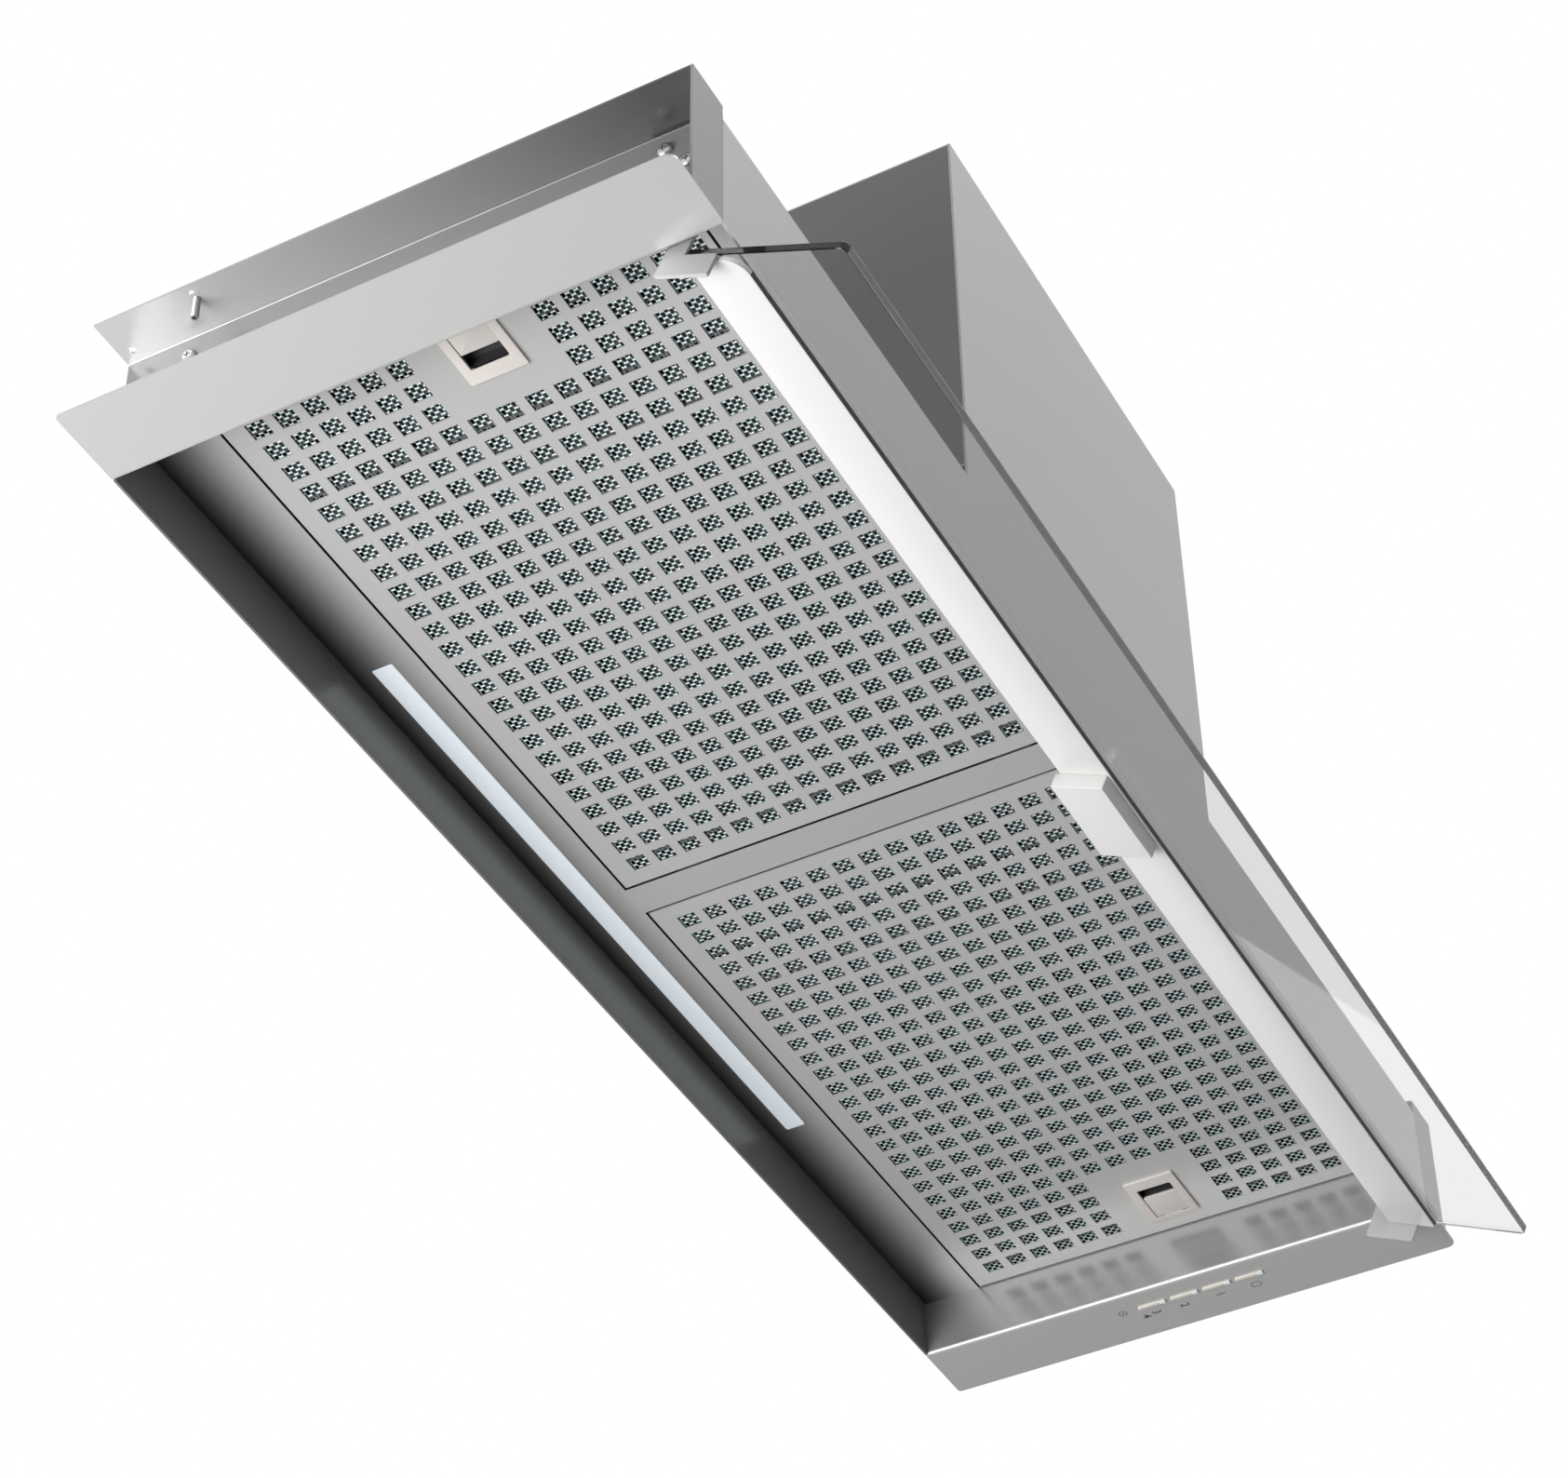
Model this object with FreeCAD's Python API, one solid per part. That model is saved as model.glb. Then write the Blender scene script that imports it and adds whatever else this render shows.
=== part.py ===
import FreeCAD, Part
import math
import os

# A 90 cm kitchen hood that is built in under a wall cupboard, seen and used from below.
# Units are millimetres.  +X is to the user's right, -Y is the front, +Z is up.
# The origin is midway between the two rear fixing holes, on the upper face of the end flanges.

V = FreeCAD.Vector

# ---------------------------------------------------------------- driving dimensions: tray
HOOD_WIDTH = 900.0              # over both trim plates
TRAY_DEPTH = 312.0              # back face to front face
TRAY_HEIGHT = 76.0              # underside of the trim plates to the top of the end flanges
SHEET = 1.2                     # stainless sheet of the tray
TRIM_WIDTH = 44.7               # trim plate, outer edge to the inner face of the end wall
TRIM_REAR_RADIUS = 2.0          # rear corners of the trim plate
TRIM_FRONT_RADIUS = 5.0
BEND_RADIUS = 2.0               # outside radius of the bend between trim plate and end wall
CABINET_SIDE = 16.0             # thickness of the cupboard side that stands on the trim plate
FIXING_FROM_BACK = 7.0          # back face to the row of rear fixing holes
FIXING_FROM_WALL = 7.1          # outer face of the end wall to a rear fixing hole
FIXING_HOLE_DIAMETER = 4.0
SIDE_HOLE_DIAMETER = 3.0        # screw hole outboard of each levelling screw
SIDE_HOLE_FROM_EDGE = 4.6       # flange edge to that hole
LEVELLER_DIAMETER = 4.0
LEVELLER_FROM_HOLE = 4.2        # side hole to levelling screw
LEVELLER_FROM_FIXING = 43.6     # row of rear fixing holes to the levelling screws
LEVELLER_BELOW = 12.6           # how far a levelling screw hangs below its flange
LEVELLER_ABOVE = 3.0
HEX_SOCKET = 2.0                # across flats
HEX_SOCKET_DEPTH = 3.0
FRONT_OVERLAP = 0.9             # front panel past the outer face of each end wall
FRONT_TOP_DROP = 8.6            # flange top down to the front panel's top edge
FRONT_RETURN = 14.8             # fold at the top of the front panel
PANEL_JOINT = 0.2               # gap between front panel and closing plate
DECK_RIM = 20.0                 # depth of the folded rim round the top deck
BOLT_DIAMETER = 4.0
BOLT_HEAD_DIAMETER = 8.0
BOLT_HEAD_HEIGHT = 2.6
BOLT_CLEARANCE = 0.1
BOLT_SLOT = 1.2                 # width of the screwdriver slot
BOLT_LENGTH = 6.0
NUT_ACROSS_FLATS = 7.0
NUT_HEIGHT = 2.8
BOLT_DROP = 14.1                # flange top down to the two upper bolts in each end wall
REAR_BOLT_FROM_BACK = 35.2
FRONT_BOLT_FROM_FRONT = 28.2
PLATE_BOLT_FROM_FRONT = 16.7
PLATE_BOLT_DROP = 27.2
LIP_LENGTH = 34.0               # closing plate's lip along the end wall
LIP_HEIGHT = 36.0

# ---------------------------------------------------------------- driving dimensions: ceiling of the recess
FILTER_RECESS = 35.0            # underside of the trim plates up to the filters
REAR_CEILING = 35.0             # width of the fixed panel that holds the lamp
FILTER_DEPTH = 251.0            # filter, back edge to front edge
EDGE_GAP = 1.4                  # filter to the fixed panels behind and in front of it
SIDE_GAP = 1.3                  # filter to end wall
UPSTAND = 14.0                  # folded edge on the fixed panels
BAR_WIDTH = 20.4
BAR_SHEET = 0.8
BAR_GAP = 1.8                   # filter to the bar between the filters
BAR_WEB = 14.0
LAMP_LENGTH = 427.0
LAMP_WIDTH = 11.4
LAMP_FROM_BACK = 15.7           # inner face of the back panel to the lamp's centre line
LAMP_CLEARANCE = 0.2
DIFFUSER_HEIGHT = 3.0
LAMP_CHANNEL_WIDTH = 16.0
LAMP_CHANNEL_HEIGHT = 12.0
LAMP_WALL = 1.0
LAMP_BOARD_WIDTH = 9.0
LAMP_BOARD_THICKNESS = 1.6
DRIVER_LENGTH = 120.0
DRIVER_WIDTH = 26.0
DRIVER_HEIGHT = 20.0
DRIVER_RADIUS = 2.4
DRIVER_FROM_WALL = 30.0         # end wall to the lamp driver
DRIVER_FROM_BACK = 30.0         # inner face of the back panel to the lamp driver

# ---------------------------------------------------------------- driving dimensions: filters
PLATE_THICKNESS = 0.8
HOLE_PITCH = 15.1
HOLE_SIDE = 10.1
HOLE_FROM_BACK = 16.0           # filter's back edge to the first row's centre
HOLE_FRONT_MARGIN = 7.0         # least distance from the last row's centre to the front edge
HOLE_SIDE_MARGIN = 11.0         # least distance from a column's centre to the side edges
PATCH_MARGIN = 12.0             # blank plate kept round the latch
FRAME_WALL = 1.0
FRAME_HEIGHT = 10.0             # whole thickness of a filter
FRAME_LIP = 5.0
FRAME_LIP_THICKNESS = 0.8
MESH_CLEARANCE = 0.2
MESH_THICKNESS = 0.8            # layers of expanded metal, pressed together and waved
MESH_WAVE = 15.0                # least length of a wave
TAB_WIDTH = 20.0
TAB_THICKNESS = 1.0
TAB_REACH = 5.2                 # tab beyond the edge of the bar it rests on
TAB_LIFT = 0.4                  # tab above the bar
TAB_FROM_BACK = 40.0            # filter's back edge to the rear tab's centre
TAB_FROM_FRONT = 31.0
NOTCH_CLEARANCE = 0.6           # filter corner to the visor bracket

# ---------------------------------------------------------------- driving dimensions: filter latches
LATCH_FROM_EDGE = 32.0          # filter's outer edge to the latch's centre
LATCH_FROM_BACK = 130.3         # filter's back edge to the latch's centre
LATCH_LENGTH = 41.0
LATCH_WIDTH = 30.0
LATCH_LIP = 1.5                 # lip below the filter plate
LATCH_RIM = 1.8                 # lip beyond the body on each side
LATCH_HEIGHT = 8.0              # body above the plate's underside
LATCH_ROOF = 1.5
LATCH_CORNER_RADIUS = 1.0
POCKET_WIDTH = 20.4
POCKET_INNER = 12.0             # latch's centre to the pocket's inner end
POCKET_OUTER = 17.3
SLIDER_LENGTH = 19.8
SLIDER_CLEARANCE = 0.3
SLIDER_FLUSH = 0.5              # slider's face above the lip's face
RAIL_WIDTH = 1.6                # guide rail on each side of the slider
RAIL_THICKNESS = 1.6
TONGUE_WIDTH = 10.0
TONGUE_THICKNESS = 2.2
TONGUE_LIFT = 1.6               # tongue above the filter plate
TONGUE_WALL_GAP = 0.3           # tongue's nose to the end wall

# ---------------------------------------------------------------- driving dimensions: glass visor
VISOR_TILT = 25.6               # degrees that the open visor slopes down
GLASS_DEPTH = 82.4
GLASS_THICKNESS = 4.0
GLASS_END_GAP = 3.6             # glass edge to the end wall's inner face
GLASS_CORNER_RADIUS = 3.0
CARRIER_DEPTH = 28.5
CARRIER_THICKNESS = 2.5
CARRIER_LEFT_RADIUS = 10.0      # front corners of the carrier strip
CARRIER_RIGHT_RADIUS = 1.5
CARRIER_GAP = 0.3               # carrier strip to bracket
BRACKET_THICKNESS = 2.0
BRACKET_WALL_GAP = 2.3          # bracket to the end wall's inner face
ARM_FRONT = 6.5                 # pivot to the front edge of the bracket's rising arm
ARM_BACK = 5.0                  # pivot to the arm's back edge
BRACKET_FOOT = 17.3             # bracket under the glass
BRACKET_BELOW = 11.9            # bracket below the glass
BRACKET_ABOVE_PIVOT = 6.0
BRACKET_CORNER_RADIUS = 1.5
PIVOT_ABOVE_GLASS = 13.7        # pivot above the glass's lower face
PIVOT_FROM_FRONT = 20.8         # front face of the tray to the pivot
PIVOT_ABOVE_TRIM = 10.5
PIVOT_PIN_DIAMETER = 6.0
PIVOT_CLEARANCE = 0.06
PIVOT_HEAD_DIAMETER = 10.0
PIVOT_HEAD = 1.5
WASHER_DIAMETER = 12.0
WASHER_GAP = 0.3
HANDLE_LENGTH = 59.0
HANDLE_DEPTH = 29.5
HANDLE_HEIGHT = 8.0
HANDLE_BEHIND = 2.5             # handle behind the glass's back edge
HANDLE_RADIUS = 0.5
HANDLE_SCREW_DIAMETER = 3.0
HANDLE_SCREW_SPACING = 40.0
HANDLE_SCREW_LENGTH = 4.0
HANDLE_SCREW_HEAD = 1.4

# ---------------------------------------------------------------- driving dimensions: switches
BUTTON_COUNT = 4
BUTTON_PITCH = 20.1
BUTTON_LENGTH = 17.3
BUTTON_WIDTH = 2.6
BUTTON_CLEARANCE = 0.3
BUTTON_PROUD = 1.0              # button's face below the trim plate's underside
BUTTON_FLANGE = 0.9             # flange that keeps a button in, past the cap on each side
BUTTON_FLANGE_THICKNESS = 1.5
BUTTON_TRAVEL = 0.8
BUTTON_SLACK = 0.3
STEM_SIDE = 2.4
STEM_HEIGHT = 6.0
WINDOW_LENGTH = 2.8
WINDOW_WIDTH = 1.8
WINDOW_DEPTH = 1.4
WINDOW_INSET = 0.9
SWITCHES_FROM_BACK = 167.5      # back face to the middle of the row
SWITCHES_FROM_EDGE = 29.2       # trim plate's outer edge to the row
SWITCH_BODY = 6.0
SWITCH_BODY_HEIGHT = 3.5
BOARD_THICKNESS = 1.6
HOUSING_WALL = 1.5
HOUSING_WIDTH = 22.0
HOUSING_END_MARGIN = 6.0
HOUSING_HEADROOM = 6.0

# ---------------------------------------------------------------- driving dimensions: motor unit
MOTOR_BOX_WIDTH = 284.0
MOTOR_BOX_CENTRE = -24.5        # left of the hood's middle
MOTOR_BOX_HEIGHT = 232.0
MOTOR_BOX_DEPTH = 285.0         # from the tray's front face
BOX_SHEET = 1.0
BOX_FLANGE = 12.0
COVER_RIM = 10.0
INTAKE_MARGIN = 22.0            # deck round the air passage into the motor box
IMPELLER_RADIUS = 75.0
IMPELLER_HALF_WIDTH = 45.0
BLADE_COUNT = 30
BLADE_DEPTH = 12.0
BLADE_THICKNESS = 0.8
BLADE_ANGLE = 25.0
RING_THICKNESS = 1.5
HUB_RADIUS = 9.0
HUB_HALF_LENGTH = 8.0
SHAFT_DIAMETER = 8.0
SHAFT_CLEARANCE = 0.05
TONGUE_CLEARANCE = 8.0          # impeller to the scroll at its narrowest
SCROLL_GROWTH = 30.0            # how much wider the scroll is at the outlet
SCROLL_START = 60.0             # degrees
SCROLL_ARCS = 5                 # arcs that make up the spiral
SCROLL_SIDE_CLEARANCE = 4.0
SCROLL_WALL = 1.5
SCROLL_FLOOR_GAP = 5.0          # scroll above the deck
FAN_FROM_FRONT = 120.0
EYE_RADIUS = 60.0
MOTOR_RADIUS = 40.0
MOTOR_LENGTH = 48.0
BEARING_RADIUS = 12.0
BEARING_LENGTH = 5.0
MOUNT_PLATE = 2.0
POST_LENGTH = 18.0
POST_RADIUS = 3.0
POST_COUNT = 3
SPIGOT_DIAMETER = 149.0         # fits a 150 mm duct
SPIGOT_WALL = 1.5
SPIGOT_LENGTH = 46.0
SPIGOT_FLANGE = 10.0
LEDGE_WIDTH = 4.0
LEDGE_HEIGHT = 5.0              # spigot's foot up to the flaps' seat
FLAP_THICKNESS = 1.2
FLAP_CLEARANCE = 0.6
FLAP_SEAT_GAP = 0.3
AXLE_DIAMETER = 3.0
KNUCKLE_RADIUS = 2.8
KNUCKLE_CLEARANCE = 0.08
KNUCKLE_LENGTH = 14.0
KNUCKLE_GAP = 1.0
BOX_SCREW_DIAMETER = 4.0
BOX_SCREW_HEAD = 2.4

# ---------------------------------------------------------------- driving dimensions: mains connection
TERMINAL_LENGTH = 100.0
TERMINAL_WIDTH = 70.0
TERMINAL_HEIGHT = 38.0
TERMINAL_WALL = 2.0
TERMINAL_FROM_BOX = 60.0        # motor box to terminal box
TERMINAL_FROM_BACK = 45.0
GLAND_RADIUS = 9.0
GLAND_BORE_RADIUS = 4.0
GLAND_LENGTH = 16.0
GLAND_FLANGE = 3.0

# ---------------------------------------------------------------- places worked out from the sizes
EDGE_X = HOOD_WIDTH / 2
WALL_IN = EDGE_X - TRIM_WIDTH
WALL_OUT = WALL_IN + SHEET
FLANGE_X = EDGE_X - CABINET_SIDE
BACK_Y = FIXING_FROM_BACK
FRONT_Y = BACK_Y - TRAY_DEPTH
BACK_IN = BACK_Y - SHEET
FRONT_IN = FRONT_Y + SHEET
TRIM_Z = -TRAY_HEIGHT
TRIM_TOP = TRIM_Z + SHEET
CEILING_Z = TRIM_Z + FILTER_RECESS
CEILING_TOP = CEILING_Z + SHEET
FRONT_TOP = -FRONT_TOP_DROP
FRONT_HALF = WALL_OUT + FRONT_OVERLAP
DECK_FRONT = FRONT_IN + FRONT_RETURN - SHEET

REAR_CEILING_EDGE = BACK_IN - REAR_CEILING
FILTER_BACK = REAR_CEILING_EDGE - EDGE_GAP
FILTER_FRONT = FILTER_BACK - FILTER_DEPTH
STRIP_EDGE = FILTER_FRONT - EDGE_GAP
FILTER_IN = BAR_WIDTH / 2 + BAR_GAP
FILTER_OUT = WALL_IN - SIDE_GAP
PLATE_TOP = CEILING_Z + PLATE_THICKNESS
FRAME_TOP = CEILING_Z + FRAME_HEIGHT
BAR_TOP = CEILING_Z + BAR_SHEET

PIVOT_Y = FRONT_Y + PIVOT_FROM_FRONT
PIVOT_Z = TRIM_Z + PIVOT_ABOVE_TRIM
BRACKET_OUT = WALL_IN - BRACKET_WALL_GAP
BRACKET_IN = BRACKET_OUT - BRACKET_THICKNESS
GLASS_HALF = WALL_IN - GLASS_END_GAP
TILT = math.radians(VISOR_TILT)
BRACKET_REACH = ARM_BACK * math.cos(TILT) + (PIVOT_ABOVE_GLASS + BRACKET_BELOW) * math.sin(TILT)
NOTCH_X = FILTER_OUT - BRACKET_IN + NOTCH_CLEARANCE
NOTCH_Y = PIVOT_Y + BRACKET_REACH + NOTCH_CLEARANCE - FILTER_FRONT

LATCH_X = FILTER_OUT - LATCH_FROM_EDGE
LATCH_Y = FILTER_BACK - LATCH_FROM_BACK
LIP_Z = CEILING_Z - LATCH_LIP
LATCH_TOP = CEILING_Z + LATCH_HEIGHT
POCKET_TOP = LATCH_TOP - LATCH_ROOF

BUTTON_X = EDGE_X - SWITCHES_FROM_EDGE
SWITCHES_Y = BACK_Y - SWITCHES_FROM_BACK
BUTTON_FACE = TRIM_Z - BUTTON_PROUD
BUTTON_FLANGE_Z = TRIM_TOP + BUTTON_SLACK
BUTTON_TOP = BUTTON_FLANGE_Z + BUTTON_FLANGE_THICKNESS
STEM_TOP = BUTTON_TOP + STEM_HEIGHT
SWITCH_Z = STEM_TOP + BUTTON_TRAVEL + BUTTON_SLACK
BOARD_Z = SWITCH_Z + SWITCH_BODY_HEIGHT
HOUSING_TOP = BOARD_Z + BOARD_THICKNESS + HOUSING_HEADROOM
SWITCH_ROW = BUTTON_PITCH * (BUTTON_COUNT - 1) + BUTTON_LENGTH
HOUSING_HALF = SWITCH_ROW / 2 + HOUSING_END_MARGIN

BOX_LEFT = MOTOR_BOX_CENTRE - MOTOR_BOX_WIDTH / 2
BOX_RIGHT = MOTOR_BOX_CENTRE + MOTOR_BOX_WIDTH / 2
BOX_BACK = FRONT_Y + MOTOR_BOX_DEPTH
COVER_Z = MOTOR_BOX_HEIGHT - BOX_SHEET
FAN_Y = FRONT_Y + FAN_FROM_FRONT
SCROLL_RADIUS = IMPELLER_RADIUS + TONGUE_CLEARANCE
SCROLL_HALF = IMPELLER_HALF_WIDTH + RING_THICKNESS + SCROLL_SIDE_CLEARANCE
BOTTOM_ANGLE = 270.0
SCROLL_BOTTOM = SCROLL_RADIUS + SCROLL_GROWTH * (BOTTOM_ANGLE - SCROLL_START) / (360.0 - SCROLL_START)
FAN_Z = SCROLL_FLOOR_GAP + SCROLL_WALL + SCROLL_BOTTOM
OUTLET_FRONT = FAN_Y + SCROLL_RADIUS * math.cos(math.radians(SCROLL_START))
OUTLET_BACK = FAN_Y + SCROLL_RADIUS + SCROLL_GROWTH
SPIGOT_Y = (OUTLET_FRONT + OUTLET_BACK) / 2
SPIGOT_RADIUS = SPIGOT_DIAMETER / 2
SPIGOT_BORE = SPIGOT_RADIUS - SPIGOT_WALL
FLAP_SEAT = MOTOR_BOX_HEIGHT + SPIGOT_WALL + LEDGE_HEIGHT
FLAP_Z = FLAP_SEAT + FLAP_SEAT_GAP
AXLE_Z = FLAP_Z + FLAP_THICKNESS / 2
MOTOR_FACE = MOTOR_BOX_CENTRE + SCROLL_HALF + SCROLL_WALL + RING_THICKNESS + POST_LENGTH + MOUNT_PLATE

TERMINAL_RIGHT = BOX_LEFT - TERMINAL_FROM_BOX
TERMINAL_LEFT = TERMINAL_RIGHT - TERMINAL_LENGTH
TERMINAL_BACK = BACK_IN - TERMINAL_FROM_BACK
TERMINAL_FRONT = TERMINAL_BACK - TERMINAL_WIDTH

WIDE = 1000.0                   # longer than any piece, for cutting


# ---------------------------------------------------------------- helpers
def box(x0, x1, y0, y1, z0, z1):
    """A block between two corners."""
    low = V(min(x0, x1), min(y0, y1), min(z0, z1))
    return Part.makeBox(abs(x1 - x0), abs(y1 - y0), abs(z1 - z0), low)


def rod(radius, start, direction, length):
    """A round bar from a start point."""
    return Part.makeCylinder(radius, length, start, direction)


def tube(outer, inner, start, direction, length):
    """A round tube from a start point."""
    return rod(outer, start, direction, length).cut(rod(inner, start, direction, length))


def outline(points):
    """A closed wire through points."""
    return Part.makePolygon(points + [points[0]])


def prism(wires, direction):
    """A plate: the first wire is its outline and the others are its holes."""
    face = Part.makeFace(wires, "Part::FaceMakerBullseye")
    return face.extrude(direction)


def square_wire(x, y, side, z):
    """A square hole's outline, centred."""
    h = side / 2
    return outline([V(x - h, y - h, z), V(x + h, y - h, z), V(x + h, y + h, z), V(x - h, y + h, z)])


def hexagon(across_flats, centre, direction, height):
    """A hexagonal block that stands on a centre point."""
    radius = across_flats / math.sqrt(3)
    corners = []
    for i in range(6):
        a = math.radians(60 * i)
        corners.append(V(radius * math.cos(a), radius * math.sin(a), 0))
    block = prism([outline(corners)], V(0, 0, height))
    block.Placement = FreeCAD.Placement(centre, FreeCAD.Rotation(V(0, 0, 1), direction))
    return block


def fuse(first, *others):
    """One solid from pieces that touch."""
    return first.multiFuse(list(others)).removeSplitter()


def group(solids):
    """Separate solids that share one node."""
    return Part.makeCompound(solids)


def other_side(shape):
    """The mirror image on the left of the hood."""
    return shape.mirror(V(0, 0, 0), V(1, 0, 0))


def round_edges(shape, radius, direction, places):
    """Round the straight edges that run along a direction through places (None matches anything)."""
    chosen = []
    for edge in shape.Edges:
        if edge.Curve.TypeId != "Part::GeomLine":
            continue
        if abs(abs(edge.Curve.Direction.dot(direction)) - 1) > 1e-6:
            continue
        p = edge.CenterOfMass
        for place in places:
            near = [want is None or abs(got - want) < 1e-3 for got, want in zip((p.x, p.y, p.z), place)]
            if all(near):
                chosen.append(edge)
    return shape.makeFillet(radius, chosen)


# ---------------------------------------------------------------- tray
def side_bolts():
    """Places (y, z, sheets under the head, sheets behind the wall) of the right end wall's bolts."""
    rear = (BACK_Y - REAR_BOLT_FROM_BACK, -BOLT_DROP, 0, SHEET)
    front = (FRONT_Y + FRONT_BOLT_FROM_FRONT, -BOLT_DROP, SHEET, SHEET)
    plate = (FRONT_Y + PLATE_BOLT_FROM_FRONT, -PLATE_BOLT_DROP, SHEET, 0)
    return [rear, front, plate]


def bolt_holes():
    """Cutters for the bolts through the right end wall and what it holds."""
    holes = []
    for y, z, _, _ in side_bolts():
        start = V(WALL_IN - DECK_RIM, y, z)
        holes.append(rod(BOLT_DIAMETER / 2 + BOLT_CLEARANCE, start, V(1, 0, 0), 2 * DECK_RIM))
    return holes


def side_frame():
    """Right end: trim plate, end wall and flange, folded from one sheet."""
    length = BACK_Y - FRONT_IN
    trim = box(WALL_IN, EDGE_X, FRONT_Y, BACK_Y, TRIM_Z, TRIM_TOP)
    corner = box(WALL_IN, FRONT_HALF + PANEL_JOINT, FRONT_Y, FRONT_IN, TRIM_Z, TRIM_TOP)
    wall = box(WALL_IN, WALL_OUT, FRONT_IN, BACK_Y, TRIM_Z, 0)
    flange = box(WALL_IN, FLANGE_X, FRONT_IN, BACK_Y, -SHEET, 0)
    frame = fuse(trim.cut(corner), wall, flange)
    middle = FRONT_IN + length / 2
    bends = [(WALL_IN, middle, TRIM_Z), (WALL_IN, middle, 0)]
    frame = round_edges(frame, BEND_RADIUS, V(0, 1, 0), bends)
    inside = [(WALL_OUT, middle, TRIM_TOP), (WALL_OUT, middle, -SHEET)]
    frame = round_edges(frame, BEND_RADIUS - SHEET, V(0, 1, 0), inside)
    frame = round_edges(frame, TRIM_FRONT_RADIUS, V(0, 0, 1), [(EDGE_X, FRONT_Y, None)])
    frame = round_edges(frame, TRIM_REAR_RADIUS, V(0, 0, 1), [(EDGE_X, BACK_Y, None)])
    cutters = bolt_holes()
    cutters.append(flange_hole(fixing_x(), 0, FIXING_HOLE_DIAMETER))
    cutters.append(flange_hole(side_hole_x(), leveller_y(), SIDE_HOLE_DIAMETER))
    cutters.append(flange_hole(leveller_x(), leveller_y(), LEVELLER_DIAMETER))
    pivot = V(WALL_IN - SHEET, PIVOT_Y, PIVOT_Z)
    cutters.append(rod(PIVOT_PIN_DIAMETER / 2, pivot, V(1, 0, 0), 3 * SHEET))
    return frame.cut(group(cutters))


def flange_hole(x, y, diameter):
    """Cutter for a round hole through the right flange."""
    return rod(diameter / 2, V(x, y, -2 * SHEET), V(0, 0, 1), 3 * SHEET)


def fixing_x():
    """Distance of the rear fixing holes from the middle."""
    return WALL_OUT + FIXING_FROM_WALL


def side_hole_x():
    """Distance of the side holes from the middle."""
    return FLANGE_X - SIDE_HOLE_FROM_EDGE


def leveller_x():
    """Distance of the levelling screws from the middle."""
    return side_hole_x() - LEVELLER_FROM_HOLE


def leveller_y():
    """Row of the levelling screws."""
    return -LEVELLER_FROM_FIXING


def button_centres():
    """The buttons' places along Y, from the rear."""
    start = SWITCHES_Y + BUTTON_PITCH * (BUTTON_COUNT - 1) / 2
    return [start - BUTTON_PITCH * i for i in range(BUTTON_COUNT)]


def switch_side_frame():
    """The right end with a cut-out for each button."""
    frame = side_frame()
    half_x = BUTTON_WIDTH / 2 + BUTTON_CLEARANCE
    half_y = BUTTON_LENGTH / 2 + BUTTON_CLEARANCE
    for y in button_centres():
        hole = box(BUTTON_X - half_x, BUTTON_X + half_x, y - half_y, y + half_y,
                   TRIM_Z - SHEET, TRIM_TOP + SHEET)
        frame = frame.cut(hole)
    return frame


def back_panel():
    """The tray's back, between the end walls."""
    return box(-WALL_IN, WALL_IN, BACK_IN, BACK_Y, TRIM_Z, 0)


def front_panel():
    """One sheet: the tray's front, carried up as the front of the motor box, with a fold at the top."""
    low = box(-FRONT_HALF, FRONT_HALF, FRONT_Y, FRONT_IN, TRIM_Z, FRONT_TOP)
    high = box(BOX_LEFT, BOX_RIGHT, FRONT_Y, FRONT_IN, FRONT_TOP, MOTOR_BOX_HEIGHT)
    fold_back = FRONT_IN + FRONT_RETURN
    left = box(-WALL_IN, BOX_LEFT, FRONT_IN, fold_back, FRONT_TOP - SHEET, FRONT_TOP)
    right = box(BOX_RIGHT, WALL_IN, FRONT_IN, fold_back, FRONT_TOP - SHEET, FRONT_TOP)
    return fuse(low, high, left, right)


def closing_plate():
    """Right closing plate beside the front panel, with a lip along the end wall."""
    face = box(FRONT_HALF + PANEL_JOINT, FLANGE_X, FRONT_Y, FRONT_IN, TRIM_TOP, 0)
    joint = box(WALL_OUT, FRONT_HALF + 2 * SHEET, FRONT_IN, FRONT_IN + SHEET, -SHEET - LIP_HEIGHT, -SHEET)
    lip = box(WALL_OUT, WALL_OUT + SHEET, FRONT_IN, FRONT_IN + LIP_LENGTH, -SHEET - LIP_HEIGHT, -SHEET)
    plate = fuse(face, joint, lip)
    relief = box(WALL_OUT, WALL_OUT + BEND_RADIUS, FRONT_IN, BACK_Y, -SHEET - BEND_RADIUS, -SHEET)
    return plate.cut(group([relief] + bolt_holes()))


def deck_outline(inset):
    """The top deck's corners."""
    x = WALL_IN - inset
    back = BACK_IN - inset
    front = DECK_FRONT + inset
    return [(-x, back), (x, back), (x, front), (-x, front)]


def top_deck():
    """Top of the tray: a sheet with a rim folded down and the air passage into the motor box."""
    outer = outline([V(x, y, 0) for x, y in deck_outline(0)])
    inner = outline([V(x, y, -SHEET) for x, y in deck_outline(SHEET)])
    deck = prism([outer], V(0, 0, -DECK_RIM)).cut(prism([inner], V(0, 0, -DECK_RIM)))
    front_rim = box(-WALL_IN, WALL_IN, DECK_FRONT, DECK_FRONT + SHEET, FRONT_TOP, -DECK_RIM)
    tab = box(BOX_LEFT, BOX_RIGHT, FRONT_IN, DECK_FRONT, -SHEET, 0)
    passage = box(BOX_LEFT + INTAKE_MARGIN, BOX_RIGHT - INTAKE_MARGIN,
                  FRONT_IN + INTAKE_MARGIN, BOX_BACK - INTAKE_MARGIN, -2 * SHEET, SHEET)
    deck = fuse(deck, tab).cut(group([front_rim, passage] + bolt_holes()))
    return deck.cut(group([other_side(hole) for hole in bolt_holes()]))


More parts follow.
